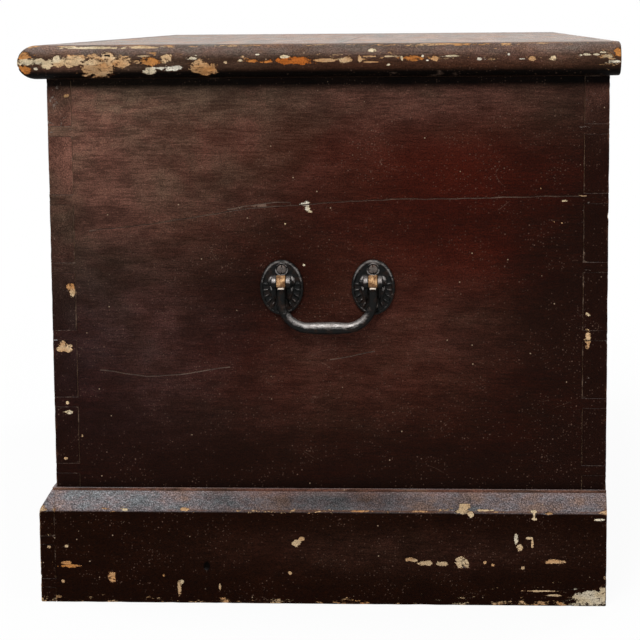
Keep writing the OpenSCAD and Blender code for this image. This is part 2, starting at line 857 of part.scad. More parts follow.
module moulding_nails_at(gap = 0) {
    for (x = spread(6, -lid_x + nail_in, lid_x - nail_in))
        translate([x, lid_y0 - mould_w, nail_mid_z]) rotate([90, 0, 0]) punched_nail(moulding_nail_l, gap);
    for (side = [-1, 1], y = spread(4, lid_y0 + 2 * nail_in, lid_y1 - nail_in))
        translate([side * lid_edge_x, y, nail_mid_z]) rotate([0, side * 90, 0]) punched_nail(moulding_nail_l, gap);
}

module moulding_nails() {
    color(iron) moulding_nails_at();
}

module lid_batten(side) {
    half = batten_w / 2;
    x = side * batten_x;
    z0 = lid_z - batten_t;
    color(bare_pine) difference() {
        slab_yz(x - half, x + half) polygon([[batten_y0, lid_z], [batten_y1, lid_z], [batten_y1, z0 + batten_chamfer],
            [batten_y1 - batten_chamfer, z0], [batten_y0 + batten_chamfer, z0], [batten_y0, z0 + batten_chamfer]]);
        batten_screw_places() flat_screw(leaf_screw_r, leaf_head_r, batten_screw_l, fastener_gap);
    }
}

module batten_screw_places() {
    for (x = [-batten_x, batten_x], y = [batten_y0 + nail_in, lid_joint_y - batten_screw_in,
        lid_joint_y + batten_screw_in, batten_y1 - nail_in])
        translate([x, y, lid_z - batten_t]) rotate([180, 0, 0]) children();
}

module batten_screws() {
    color(iron) batten_screw_places() flat_screw(leaf_screw_r, leaf_head_r, batten_screw_l);
}

front_board();
back_board();
end_board(1);  // right_end_board
end_board(-1);  // left_end_board
bottom_board(1);  // bottom_board_1
bottom_board(2);  // bottom_board_2
bottom_board(3);  // bottom_board_3
bottom_board(4);  // bottom_board_4
bottom_board(5);  // bottom_board_5
long_cleat(in_front);  // front_cleat
long_cleat(in_back - cleat_s);  // back_cleat
short_cleat(in_x - cleat_s);  // right_cleat
short_cleat(-in_x);  // left_cleat
cleat_nails();
bottom_board_nails();
front_plinth();
end_plinth(1);  // right_plinth
end_plinth(-1);  // left_plinth
plinth_nails();
case_leaf(hinge_x);  // right_hinge_case_leaf
case_leaf(-hinge_x);  // left_hinge_case_leaf
hinge_pins();
hinge_case_screws();
rose(1, -1);  // right_handle_front_rose
rose(1, 1);  // right_handle_back_rose
handle_pins(1);  // right_handle_pins
handle_screws(1);  // right_handle_screws
bail(1);  // right_handle_bail
rose(-1, 1);  // left_handle_front_rose
rose(-1, -1);  // left_handle_back_rose
handle_pins(-1);  // left_handle_pins
handle_screws(-1);  // left_handle_screws
bail(-1);  // left_handle_bail
lock_case();
lock_cover();
lock_cover_screws();
lock_screws();
lock_bolt();
escutcheon();
escutcheon_pins();
lid_board(lid_y0, lid_joint_y - board_gap / 2);  // lid_front_board
lid_board(lid_joint_y + board_gap / 2, lid_y1);  // lid_back_board
lid_front_moulding();
end_moulding(1);  // lid_right_moulding
end_moulding(-1);  // lid_left_moulding
moulding_nails();
lid_batten(1);  // right_lid_batten
lid_batten(-1);  // left_lid_batten
batten_screws();
lid_leaf(hinge_x);  // right_hinge_lid_leaf
lid_leaf(-hinge_x);  // left_hinge_lid_leaf
hinge_lid_screws();
lock_strike();
strike_screws();
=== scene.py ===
import json
import math
import random

import bmesh
import bpy
import numpy as np
from mathutils import Matrix, Vector, noise


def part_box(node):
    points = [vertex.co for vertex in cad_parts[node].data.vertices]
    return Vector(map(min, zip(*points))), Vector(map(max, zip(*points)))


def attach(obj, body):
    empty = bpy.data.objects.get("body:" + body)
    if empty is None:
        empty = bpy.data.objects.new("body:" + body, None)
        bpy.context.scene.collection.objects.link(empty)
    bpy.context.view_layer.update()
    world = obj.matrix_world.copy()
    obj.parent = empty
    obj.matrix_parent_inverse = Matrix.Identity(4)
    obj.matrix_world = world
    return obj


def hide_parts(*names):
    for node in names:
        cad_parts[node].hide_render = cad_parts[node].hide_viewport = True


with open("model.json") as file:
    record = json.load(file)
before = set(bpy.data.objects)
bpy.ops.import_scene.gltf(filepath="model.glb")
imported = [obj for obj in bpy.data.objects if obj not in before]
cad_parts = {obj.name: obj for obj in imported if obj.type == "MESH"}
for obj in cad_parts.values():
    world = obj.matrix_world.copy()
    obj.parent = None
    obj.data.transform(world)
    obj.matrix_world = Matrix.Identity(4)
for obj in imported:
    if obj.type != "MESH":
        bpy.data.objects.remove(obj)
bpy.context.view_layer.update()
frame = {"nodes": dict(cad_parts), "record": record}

# Units and planes of the chest, in metres
MM = 0.001
FRONT_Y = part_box("front_board")[0].y
BACK_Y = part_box("back_board")[1].y
MID_Y = (FRONT_Y + BACK_Y) / 2
END_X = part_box("right_end_board")[1].x
CASE_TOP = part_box("right_end_board")[1].z
LID_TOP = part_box("lid_front_board")[1].z

# Sides of the chest: the axis they face along and which way, then the axes of their width and height
SIDES = {
    "right": (0, 1, 1, 2),
    "left": (0, -1, 1, 2),
    "front": (1, -1, 0, 2),
    "back": (1, 1, 0, 2),
    "top": (2, 1, 0, 1),
}


# Camera

def place_camera():
    """Puts the camera where the photograph was taken, level with the lid in front of the right end."""
    yaw, pitch, roll = -0.05715, 0.12715, -0.00808
    forward = Vector((
        -math.cos(yaw) * math.cos(pitch),
        math.sin(yaw) * math.cos(pitch),
        -math.sin(pitch)))
    level = Vector((math.sin(yaw), math.cos(yaw), 0))
    upright = level.cross(forward)
    right = level * math.cos(roll) + upright * math.sin(roll)
    up = upright * math.cos(roll) - level * math.sin(roll)
    bpy.ops.object.camera_add()
    camera = bpy.context.object
    camera.matrix_world = Matrix((right, up, -forward)).transposed().to_4x4()
    camera.location = (2.2549, 0.10165, 0.5298)
    camera.data.sensor_width = 36
    camera.data.lens = 112.5
    camera.data.shift_y = -0.075
    camera.data.clip_end = 60
    bpy.context.scene.camera = camera


bpy.context.scene.view_settings.view_transform = "Standard"
place_camera()


# Nodes

def colour(code):
    """Linear colour for a display colour written as six hex digits."""
    parts = [int(code[i:i + 2], 16) / 255 for i in (0, 2, 4)]
    return [p / 12.92 if p <= 0.04045 else ((p + 0.055) / 1.055) ** 2.4 for p in parts] + [1]


class Layer:
    """A value or colour that a node gives. What is done with it adds a node to the same recipe."""

    def __init__(self, recipe, socket):
        self.recipe = recipe
        self.socket = socket

    def math(self, operation, other=0.0):
        return self.recipe.node("Math", {0: self, 1: other}, operation=operation)

    def __add__(self, other):
        return self.math("ADD", other)

    def __sub__(self, number):
        return self.math("ADD", -number)

    def __mul__(self, other):
        return self.math("MULTIPLY", other)

    def least(self, other):
        return self.math("MINIMUM", other)

    def most(self, other):
        return self.math("MAXIMUM", other)

    def spread(self, low, high, start=0.0, end=1.0):
        """Smooth step from start to end while the value goes from low to high."""
        ends = {"Value": self, "From Min": low, "From Max": high, "To Min": start, "To Max": end}
        return self.recipe.node("MapRange", ends, interpolation_type="SMOOTHSTEP")

    def shade(self, amount):
        """The colour made lighter or darker by a factor."""
        return self.recipe.node("VectorMath", {0: self, "Scale": amount}, operation="SCALE")

    def cover(self, share, over):
        """The colour with a share of another laid over it."""
        return self.recipe.blend(share, self, over)


class Recipe:
    """The nodes of a material or the world, with short ways to add to them. Patterns run along its axis."""

    def __init__(self, owner, axis=0):
        owner.use_nodes = True
        self.owner = owner
        self.axis = axis
        self.nodes = owner.node_tree.nodes
        self.links = owner.node_tree.links
        self.place = None

    def feed(self, socket, value):
        if isinstance(value, Layer):
            self.links.new(value.socket, socket)
        else:
            socket.default_value = colour(value) if isinstance(value, str) else value

    def node(self, kind, inputs=(), out=0, **settings):
        """Adds a node, feeds its inputs and gives one of its outputs."""
        node = self.nodes.new("ShaderNode" + kind)
        for key, value in settings.items():
            setattr(node, key, value)
        for key, value in dict(inputs).items():
            self.feed(node.inputs[key], value)
        return Layer(self, node.outputs[out])

    def set(self, node="Principled BSDF", **values):
        for key, value in values.items():
            self.feed(self.nodes[node].inputs[key.replace("_", " ")], value)

    def stretched(self, squeeze, axis):
        """Places on the piece, squeezed along an axis so that a pattern runs along it."""
        if self.place is None:
            self.place = self.node("TexCoord", out="Object")
        scale = [squeeze if i == axis else 1 for i in range(3)]
        return self.node("Mapping", {"Vector": self.place, "Scale": scale})

    def noise(self, scale, squeeze, detail, rough, twist=0.0, axis=None):
        place = self.stretched(squeeze, self.axis if axis is None else axis)
        inputs = {"Vector": place, "Scale": scale, "Detail": detail, "Roughness": rough, "Distortion": twist}
        return self.node("TexNoise", inputs, "Fac")

    def cells(self, scale, squeeze=1, out="Distance", feature="F1"):
        inputs = {"Vector": self.stretched(squeeze, self.axis), "Scale": scale}
        return self.node("TexVoronoi", inputs, out, feature=feature)

    def blend(self, share, a, b, kind="MIX"):
        return self.node("Mix", {0: share, 6: a, 7: b}, 2, data_type="RGBA", blend_type=kind)

    def ramp(self, value, stops):
        """Runs through some colours as the value goes up."""
        node = self.nodes.new("ShaderNodeValToRGB")
        self.feed(node.inputs[0], value)
        while len(node.color_ramp.elements) < len(stops):
            node.color_ramp.elements.new(0.5)
        for element, (position, code) in zip(node.color_ramp.elements, stops):
            element.position = position
            element.color = colour(code)
        return Layer(self, node.outputs[0])

    def value(self, name):
        """A wear value that was written into the mesh."""
        return self.node("Attribute", out="Fac", attribute_name=name)

    def bump(self, height, depth, strength):
        self.set(Normal=self.node("Bump", {"Strength": strength, "Distance": depth, "Height": height}))


# Light and floor

def soft_lamp(name, place, aim, size, power):
    bpy.ops.object.light_add(type="AREA", location=place)
    lamp = bpy.context.object
    lamp.name = name
    lamp.data.shape = "DISK"
    lamp.data.size = size
    lamp.data.energy = power
    lamp.rotation_euler = (Vector(aim) - Vector(place)).to_track_quat("-Z", "Y").to_euler()


def background_rays(mix):
    """One for rays that should see the white background: from the camera, off gloss and through glass."""
    path = mix.nodes.new("ShaderNodeLightPath")
    kinds = ("Is Camera Ray", "Is Glossy Ray", "Is Transmission Ray")
    camera, glossy, through = (Layer(mix, path.outputs[kind]) for kind in kinds)
    return camera.most(glossy).most(through)


def set_world():
    """A dim bluish sky that shows as white where the background is seen."""
    world = bpy.data.worlds.new("studio")
    bpy.context.scene.world = world
    mix = Recipe(world)
    mix.set("Background", Color=(0.97, 0.98, 1, 1), Strength=0.27)
    sky = Layer(mix, mix.nodes["Background"].outputs[0])
    white = mix.node("Background", {"Color": (1, 1, 1, 1)})
    mix.set("World Output", Surface=mix.node("MixShader", {0: background_rays(mix), 1: sky, 2: white}))


def set_floor():
    """A grey floor that takes the chest's shadow and fades into the white background round it."""
    bpy.ops.mesh.primitive_circle_add(vertices=64, radius=14, fill_type="NGON")
    floor = bpy.context.object
    floor.name = "studio_floor"
    mix = Recipe(bpy.data.materials.new("studio_floor"))
    mix.set(Base_Color=(0.82, 0.82, 0.82, 1), Roughness=0.9, Specular_IOR_Level=0)
    grey = Layer(mix, mix.nodes["Principled BSDF"].outputs[0])
    reach = mix.node("VectorMath", {0: mix.node("TexCoord", out="Object")}, "Value", operation="LENGTH")
    fade = mix.node("MapRange", {"Value": reach, "From Min": 0.6, "From Max": 1.6, "To Min": 0.93})
    veil = mix.node("MixShader", {0: background_rays(mix) * fade, 1: grey, 2: mix.node("Emission")})
    mix.set("Material Output", Surface=veil)
    floor.data.materials.append(mix.owner)


set_world()
soft_lamp("overhead", (0.5, 0.0, 3.2), (0, 0, 0.4), 2.6, 30)
soft_lamp("end_side", (2.7, -0.5, 3.0), (0.3, 0, 0.3), 1.5, 78)
soft_lamp("front_side", (-0.6, -3.4, 2.2), (0, 0, 0.3), 2.0, 60)
soft_lamp("far_side", (-3.0, 2.4, 2.2), (0, 0, 0.3), 2.0, 80)
set_floor()


# Hand tools

WELD = 0.01 * MM
TOUCH = 0.001 * MM
SMOOTH_ANGLE = 40
FLAT_ANGLE = 0.5
CREASE = 0.1


def deselect():
    if bpy.context.mode != "OBJECT":
        bpy.ops.object.mode_set(mode="OBJECT")
    bpy.ops.object.select_all(action="DESELECT")


def take(piece):
    """Makes one piece the only selected and the active one."""
    deselect()
    piece.select_set(True)
    bpy.context.view_layer.objects.active = piece


def edit(piece, mode="FACE"):
    """Goes into edit mode with nothing selected, and gives the mesh being edited."""
    take(piece)
    bpy.ops.object.mode_set(mode="EDIT")
    bpy.ops.mesh.select_mode(type=mode)
    bpy.ops.mesh.select_all(action="DESELECT")
    return bmesh.from_edit_mesh(piece.data)


def leave():
    bpy.ops.object.mode_set(mode="OBJECT")


def pick(piece, mode, test):
    """Selects what passes a test of a point's place, an edge's two ends or a face's middle and normal."""
    bpy.ops.mesh.select_mode(type=mode)
    bpy.ops.mesh.select_all(action="DESELECT")
    bm = bmesh.from_edit_mesh(piece.data)
    parts, look = {
        "VERT": (bm.verts, lambda vert: (vert.co,)),
        "EDGE": (bm.edges, lambda line: (line.verts[0].co, line.verts[1].co)),
        "FACE": (bm.faces, lambda face: (face.calc_center_median(), face.normal)),
    }[mode]
    for part in parts:
        part.select_set(bool(test(*look(part))))
    bm.select_flush_mode()
    bmesh.update_edit_mesh(piece.data)


def slide(axis, distance):
    """Moves what is selected along one axis."""
    bpy.ops.transform.translate(value=[distance if i == axis else 0 for i in range(3)])


def extrude(move):
    bpy.ops.mesh.extrude_region_move(TRANSFORM_OT_translate={"value": move})


def make(name, primitive, **settings):
    """Adds a primitive, names it and writes its place into its mesh."""
    deselect()
    primitive(**settings)
    piece = bpy.context.object
    piece.name = name
    piece.data.name = name
    bpy.ops.object.transform_apply(location=True, rotation=True, scale=True)
    return piece


def cube(name, low, high):
    low, high = Vector(low), Vector(high)
    return make(name, bpy.ops.mesh.primitive_cube_add, size=1, location=(low + high) / 2, scale=high - low)


def finish_modifier(piece, kind, **settings):
    """Adds a modifier with its settings and applies it."""
    take(piece)
    modifier = piece.modifiers.new(kind.lower(), kind)
    for key, value in settings.items():
        setattr(modifier, key, value)
    bpy.ops.object.modifier_apply(modifier=modifier.name)


def cut_away(piece, cutter, operation="DIFFERENCE"):
    finish_modifier(piece, "BOOLEAN", object=cutter, operation=operation, solver="EXACT")
    bpy.data.objects.remove(cutter)


def smooth(piece):
    take(piece)
    bpy.ops.object.shade_smooth_by_angle(angle=math.radians(SMOOTH_ANGLE))
    finish_modifier(piece, "WEIGHTED_NORMAL", keep_sharp=True)


def add_object(name, mesh):
    piece = bpy.data.objects.new(name, mesh)
    mesh.name = name
    bpy.context.scene.collection.objects.link(piece)
    return piece


def cad_copy(node, name):
    """A welded copy of a CAD node, with its flat faces made whole again."""
    piece = add_object(name, frame["nodes"][node].data.copy())
    piece.data.materials.clear()
    edit(piece)
    bpy.ops.mesh.select_all(action="SELECT")
    bpy.ops.mesh.customdata_custom_splitnormals_clear()
    bpy.ops.mesh.remove_doubles(threshold=WELD)
    bpy.ops.mesh.dissolve_limited(angle_limit=math.radians(FLAT_ANGLE))
    leave()
    return piece


def write_values(piece, name, values, domain="POINT"):
    attribute = piece.data.attributes.new(name, "FLOAT", domain)
    attribute.data.foreach_set("value", np.asarray(values, np.float32))


def sharp_edges(piece):
    """Number and two ends of each edge where two faces meet at an angle."""
    bm = bmesh.new()
    bm.from_mesh(piece.data)
    found = [(line.index, line.verts[0].co.copy(), line.verts[1].co.copy()) for line in bm.edges
             if len(line.link_faces) == 2 and line.calc_face_angle() > CREASE]
    bm.free()
    return found


def round_edges(piece, widths, segments=2):
    """Rounds edges by place: each entry is a width and a test on the two ends of an edge."""
    widest = max(width for width, test in widths)
    shares = np.zeros(len(piece.data.edges))
    for index, a, b in sharp_edges(piece):
        fitting = [width for width, test in widths if test(a, b)]
        shares[index] = fitting[0] / widest if fitting else 0
    write_values(piece, "bevel_weight_edge", shares, "EDGE")
    finish_modifier(
        piece, "BEVEL", limit_method="WEIGHT", width=widest, segments=segments, use_clamp_overlap=False)


def grid_cuts(piece, pitch, axes, heights=()):
    """Cuts a board across at a pitch and at some heights, so that its faces have points for their wear."""
    low, high = Vector(piece.bound_box[0]), Vector(piece.bound_box[6])
    cuts = [(2, height) for height in heights]
    for axis in axes:
        count = max(1, round((high[axis] - low[axis]) / pitch))
        cuts += [(axis, low[axis] + (high[axis] - low[axis]) * i / count) for i in range(1, count)]
    edit(piece)
    for axis, place in cuts:
        spot, across = Vector((0, 0, 0)), Vector((0, 0, 0))
        spot[axis], across[axis] = place, 1
        bpy.ops.mesh.select_all(action="SELECT")
        bpy.ops.mesh.bisect(plane_co=spot, plane_no=across, threshold=2 * WELD)
    leave()


def close(a, b, gap=TOUCH):
    return abs(a - b) < gap


def flat_between(axis, a, b, place):
    """Whether both ends of an edge lie in a plane across the axis."""
    return close(a[axis], place, 5 * WELD) and close(b[axis], place, 5 * WELD)


def at_ends(a, b, x, gap):
    """Whether both ends of an edge lie in the plane of either end of the chest."""
    return close(abs(a.x), x, gap) and close(abs(b.x), x, gap)


# Wear: marks are written in millimetres on a side, as place, half size and tone of the bare wood
# (0 orange, 0.5 tan, 1 pale)

FACING = 0.3
LINE_REACH = 9 * MM
ARRIS_REACH = 9 * MM
HOLE_DEPTH = 1.1 * MM
ARRIS_WEAR = 0.5 * MM
WAVES, RIPPLES = 14, 260
RAGGED = 0.45


def mark_array(marks):
    return np.array(marks, float).reshape(-1, 5)


def divide(piece, choose):
    """Halves the faces that are chosen by their middles, normals and longest edges."""
    bm = edit(piece)
    bm.faces.ensure_lookup_table()
    centres = np.array([face.calc_center_median() for face in bm.faces])
    normals = np.array([face.normal for face in bm.faces])
    lengths = np.array([max(line.calc_length() for line in face.edges) for face in bm.faces])
    chosen = choose(centres, normals, lengths)
    for index in np.nonzero(chosen)[0]:
        bm.faces[index].select_set(True)
    bm.select_flush_mode()
    bmesh.update_edit_mesh(piece.data)
    if chosen.any():
        bpy.ops.mesh.subdivide(number_cuts=1)
    leave()


def near_marks(points, marks, margin):
    """Which points lie inside any mark, with a margin in millimetres."""
    if not len(marks) or not len(points):
        return np.zeros(len(points), bool)
    gap = np.abs(points[:, None, :] - marks[None, :, :2]) - marks[None, :, 2:4]
    return (gap.max(axis=2) < margin).any(axis=1)


def refine(piece, wear):
    """Divides the faces round the marks until they are finer than the marks."""
    coarsest = 4
    for step in (coarsest, 2, 1):
        def choose(centres, normals, lengths):
            chosen = np.zeros(len(centres), bool)
            for side, marks in wear.items():
                axis, way, across, up = SIDES[side]
                small = marks[marks[:, 2:4].min(axis=1) < 3.5 * step] if step < coarsest else marks
                faces = (normals[:, axis] * way > 0.35) & (lengths > 1.3 * step * MM)
                chosen |= faces & near_marks(centres[:, (across, up)] / MM, small, 1.5 * step)
            return chosen

        divide(piece, choose)


def line_distance(points, segments):
    """Distance of each point to the nearest of some straight lines, up to the reach."""
    nearest = np.full(len(points), LINE_REACH)
    for start, end in segments:
        start, run = np.array(start), np.array(end) - np.array(start)
        share = np.clip((points - start) @ run / max(run @ run, 1e-12), 0, 1)
        nearest = np.minimum(nearest, np.linalg.norm(points - start - share[:, None] * run, axis=1))
    return nearest


def write_nearness(piece, lines):
    """Divides the faces near some straight lines and writes how near each point is to each named set of them:
    1 on the line, 0 beyond the reach."""
    every = [segment for segments in lines.values() for segment in segments]
    for size in (5, 2.5):
        divide(piece, lambda centres, normals, lengths: (
            (line_distance(centres, every) < 1.3 * size * MM) & (lengths > 1.2 * size * MM)))
    points = np.array([vert.co for vert in piece.data.vertices])
    for name, segments in lines.items():
        write_values(piece, name, 1 - line_distance(points, segments) / LINE_REACH)


def mark_depths(spots, marks, ripple):
    """How far each point lies inside its mark, 1 in the middle and 0 on the rim, and the mark's tone and
    depth."""
    inside = np.full(len(spots), -1.0)
    tone = np.full(len(spots), 0.5)
    depth = np.zeros(len(spots))
    for u, v, half_u, half_v, wood in marks:
        reach = np.hypot((spots[:, 0] - u) / half_u, (spots[:, 1] - v) / half_v)
        here = 1 - reach + ripple
        here[reach > 1.8] = -1
        better = here > inside
        inside[better] = here[better]
        tone[better] = wood
        depth[better] = min(0.25 + 0.07 * min(half_u, half_v), 0.9) * MM
    return inside, tone, depth


def point_array(piece, name):
    """The places or normals of a piece's points."""
    values = np.zeros(len(piece.data.vertices) * 3)
    piece.data.vertices.foreach_get(name, values)
    return values.reshape(-1, 3)


def weather(piece, wear, hull, tints, holes, seed, wave):
    """Moves a painted board's skin in waves, sinks its marks and writes its wear and tints, among them
    painted sheen and painted shade, for the finish to read.
    """
    points, normals = point_array(piece, "co"), point_array(piece, "normal")
    count = len(points)
    low, high = np.array(hull[0]), np.array(hull[1])
    walls = np.sort(np.minimum(points - low, high - points), axis=1)
    arris = np.clip(1 - walls[:, 1] / ARRIS_REACH, 0, 1)
    shift = Vector((seed * 3.7, seed * 1.3, seed * 2.1))
    coarse = np.array([noise.noise(Vector(p) * WAVES + shift) for p in points])
    ripple = np.array([noise.fractal(Vector(p) * RIPPLES + shift, 0.8, 2.2, 3) for p in points])

    def seen(side):
        """Places on a side in millimetres, and which points face that way."""
        axis, way, across, up = SIDES[side]
        return points[:, (across, up)] / MM, normals[:, axis] * way > FACING

    chip = np.full(count, -1.0)
    tone = np.full(count, 0.5)
    sunk = np.zeros(count)
    for side, marks in wear.items():
        spots, facing = seen(side)
        inside, wood, depth = mark_depths(spots, marks, RAGGED * ripple)
        better = facing & (inside > chip)
        chip[better] = inside[better]
        tone[better] = wood[better]
        sunk[better] = (np.clip(inside * 4 + 0.5, 0, 1) * depth)[better]
    hole = np.zeros(count)
    for side, u, v, half_u, half_v in holes:
        spots, facing = seen(side)
        reach = np.hypot((spots[:, 0] - u) / half_u, (spots[:, 1] - v) / half_v)
        hole = np.maximum(hole, np.clip(1.5 - reach + 0.3 * ripple, 0, 1) * facing)
    sunk += np.clip(hole * 2 - 1, 0, 1) * HOLE_DEPTH
    sunk += np.clip(coarse * 0.5 + 0.5, 0, 1) * wave * MM
    sunk += arris ** 3 * np.clip(ripple * 1.5 + 0.1, 0, 1) * ARRIS_WEAR
    moved = points - normals * sunk[:, None]
    moved[:, 2] = np.maximum(moved[:, 2], 0)
    piece.data.vertices.foreach_set("co", moved.ravel())
    piece.data.update()
    for name, values in {"chip": chip, "tone": tone, "arris": arris, "hole": hole}.items():
        write_values(piece, name, values)
    for name, blobs in tints:
        total = np.zeros(count)
        for side, u, v, half_u, half_v, amount in blobs:
            spots, facing = seen(side)
            reach = ((spots[:, 0] - u) / half_u) ** 2 + ((spots[:, 1] - v) / half_v) ** 2
            total += amount * np.exp(-reach) * facing
        write_values(piece, name, total)


def write_upward(piece):
    """Notes for each corner how far it faces up, where dust lies and a painted sheen of the sky shows."""
    normals = np.zeros(len(piece.data.loops) * 3, np.float32)
    piece.data.corner_normals.foreach_get("vector", normals)
    write_values(piece, "upward", np.clip(normals.reshape(-1, 3)[:, 2], 0, 1), "CORNER")


def hole_marks(holes, side):
    return mark_array([(u, v, half_u, half_v, 0) for name, u, v, half_u, half_v in holes if name == side])


def age(piece, wear, hull, tints, holes=(), lines=None, seed=0, wave=0.16):
    """Divides a painted board round its marks, holes and lines, and wears it."""
    refine(piece, {side: np.vstack([marks, hole_marks(holes, side)]) for side, marks in wear.items()})
    if lines:
        write_nearness(piece, lines)
    weather(piece, wear, hull, tints, holes, seed, wave)
    smooth(piece)
    write_upward(piece)


def scatter(seed, groups, across, up, size):
    """Chips strewn by chance in groups over a side that the photograph doesn't show, most near its edges."""
    chance = random.Random(seed)
    marks = []
    for group in range(groups):
        u, v = chance.uniform(*across), chance.uniform(*up)
        place = chance.random()
        if place < 0.35:
            u = chance.choice((across[0] + abs(chance.gauss(0, 14)), across[1] - abs(chance.gauss(0, 14))))
        elif place < 0.6:
            v = up[0] + abs(chance.gauss(0, 10))
        reach = 0.8 + size * chance.random() ** 2.5
        tone = chance.uniform(0.3, 0.9)
        for k in range(chance.choice((1, 1, 2, 3, 5))):
            chip = reach * 0.75 ** k
            marks.append((
                u + chance.gauss(0, 1.7 * reach) * (k > 0), v + chance.gauss(0, 0.9 * reach) * (k > 0),
                chip * chance.uniform(0.6, 2.2), chip * chance.uniform(0.4, 1.0), tone))
    return mark_array(marks)


# Finishes

def aged_paint(name, axis, deep, warm, dust_and_sheen="8d8580", dust_and_sheen_steps=(0.15, 0.6, 0.75), sheen=0.03, scratch=None,
               run=0.5, specks=1.6):
    """Old dark paint on pine: brushed, crackled, dusty, rubbed through on arrises and chipped to the wood.
    Its colour also carries a painted sheen, painted shade under the lid, over the plinth and in nail holes,
    and painted highlights along its splits and joints.
    """
    mix = Recipe(bpy.data.materials.new(name), axis)
    streak = mix.noise(620, 0.1, 6, 0.66)
    fine = mix.noise(1500, 0.2, 3, 0.6)
    cloud = mix.noise(8, 0.6, 4, 0.6, 0.6)
    mottle = mix.noise(55, run, 6, 0.65)
    shreds = mix.noise(230, 0.45, 7, 0.72)
    grit = mix.noise(900, 1, 3, 0.7)
    flecks = mix.noise(330, 0.6, 5, 0.75)
    crackle = mix.cells(520, 0.35, feature="DISTANCE_TO_EDGE")

    # The paint's own colour, with its red and cold clouds, then a painted sheen laid over it and painted
    # shade under the lid and over the plinth
    red = mix.value("warm") + (cloud - 0.5) + (streak - 0.5) * 0.5
    cold = mix.value("cold") * mottle.spread(0.3, 0.7, 0.4, 1.0)
    paint = mix.blend(red.spread(0.0, 1.0), deep, warm).cover(cold.least(0.8), "1d1726")
    # Painted sheen: a pale brownish veil that stands for light reflected off the paint
    veil = mix.value("painted_sheen") * (streak + mottle).spread(0.75, 1.25, 0.45, 1.0)
    painted_sheen_colour = mix.blend(mix.noise(11, 0.6, 5, 0.65, 0.8).spread(0.36, 0.66), "875c4e", "6c5747")
    paint = paint.cover(veil.least(0.85), painted_sheen_colour)
    paint = paint.shade(mottle.spread(0.3, 0.7, 0.86, 1.14)).shade(streak.spread(0.25, 0.75, 0.88, 1.12))
    paint = paint.shade(fine.spread(0.25, 0.75, 0.72, 1.28)).shade(grit.spread(0.25, 0.75, 0.5, 1.6))
    paint = paint.shade(crackle.spread(0.0, 0.05, 0.78, 1.0))
    # Painted shade: near black under the lid's overhang and on the lower part of its mouldings, and darker
    # just above the plinth
    paint = paint.shade(mix.value("grime_and_painted_shade").spread(0.0, 1.0, 1.0, 0.05))

    # Dust on what faces up, together with a painted sheen of the sky on those faces
    pattern = streak * 0.15 + grit * 0.6 + mottle * 0.25
    dust_and_sheen_share = mix.value("upward").spread(*dust_and_sheen_steps[:2]) * pattern.spread(0.4, 0.6, 0.35, 1.1)
    dust_and_sheen_share = dust_and_sheen_share * (mix.value("dust_and_sheen_amount") + dust_and_sheen_steps[2])
    cast_over = mix.ramp(mix.noise(38, 0.5, 6, 0.75), [(0.4, "dbe8ee"), (0.5, "efe6ea"), (0.62, "ffdfcd")])
    paint = paint.cover(dust_and_sheen_share.least(0.95), mix.blend(1.0, dust_and_sheen, cast_over, "MULTIPLY"))
    grain = dust_and_sheen_share * (grit + fine - 1.0) * specks
    paint = paint.shade((grain + 1.0).most(0.25))

    # Hairlines and specks, the finest first
    hair = (mix.noise(17, 0.5, 1, 0.5, 1.2) - 0.5).math("ABSOLUTE").spread(0.0, 0.004, 1.0, 0.0)
    paint = paint.cover(hair * mottle.spread(0.56, 0.66) * 0.2, "8a6f5f")
    for scale, inner, outer, gather, few, many, share, tone in (
            (430, 0.16, 0.3, 2.2, 0.62, 0.72, 0.22, "86695a"),
            (230, 0.1, 0.19, 1.8, 0.8, 0.86, 0.38, "86695a"),
            (95, 0.04, 0.075, 0.0, 0.7, 0.74, 0.65, "b49a80")):
        picked = mix.cells(scale, out="Color") + (mottle - 0.5) * gather
        dots = mix.cells(scale).spread(inner, outer, 1.0, 0.0) * picked.spread(few, many)
        paint = paint.cover(dots * share, tone)

    # Bare wood under the paint, where it is rubbed, scuffed or chipped, and painted highlights along the lips
    # of splits and joints
    ragged = (shreds - 0.5) * 1.35 + (grit - 0.5) * 0.75
    bare = mix.ramp(mix.value("tone") + (mix.noise(26, 0.5, 4, 0.6) - 0.5) * 1.3, [
        (0.0, "b8662a"), (0.28, "c78547"), (0.52, "c79c70"), (0.8, "dac5a1"), (1.0, "ebe2cf")])
    bare = bare.shade(streak.spread(0.3, 0.7, 0.8, 1.1)).shade(mottle.spread(0.35, 0.6, 0.78, 1.05))
    bare = bare.shade(grit.spread(0.3, 0.7, 0.72, 1.3))
    rub = mix.value("arris") + mix.value("rubbed_and_highlight") + (mottle - 0.5) * 1.2 + ragged * 0.4
    paint = paint.cover(rub.spread(0.88, 1.2, 0.0, 0.7), "5d3d2c")
    whole = flecks.spread(0.5, 0.55, 1.0, 0.0).most(rub.spread(1.7, 2.0))
    paint = paint.cover(rub.spread(1.2, 1.34, 0.0, 0.9) * whole, bare)
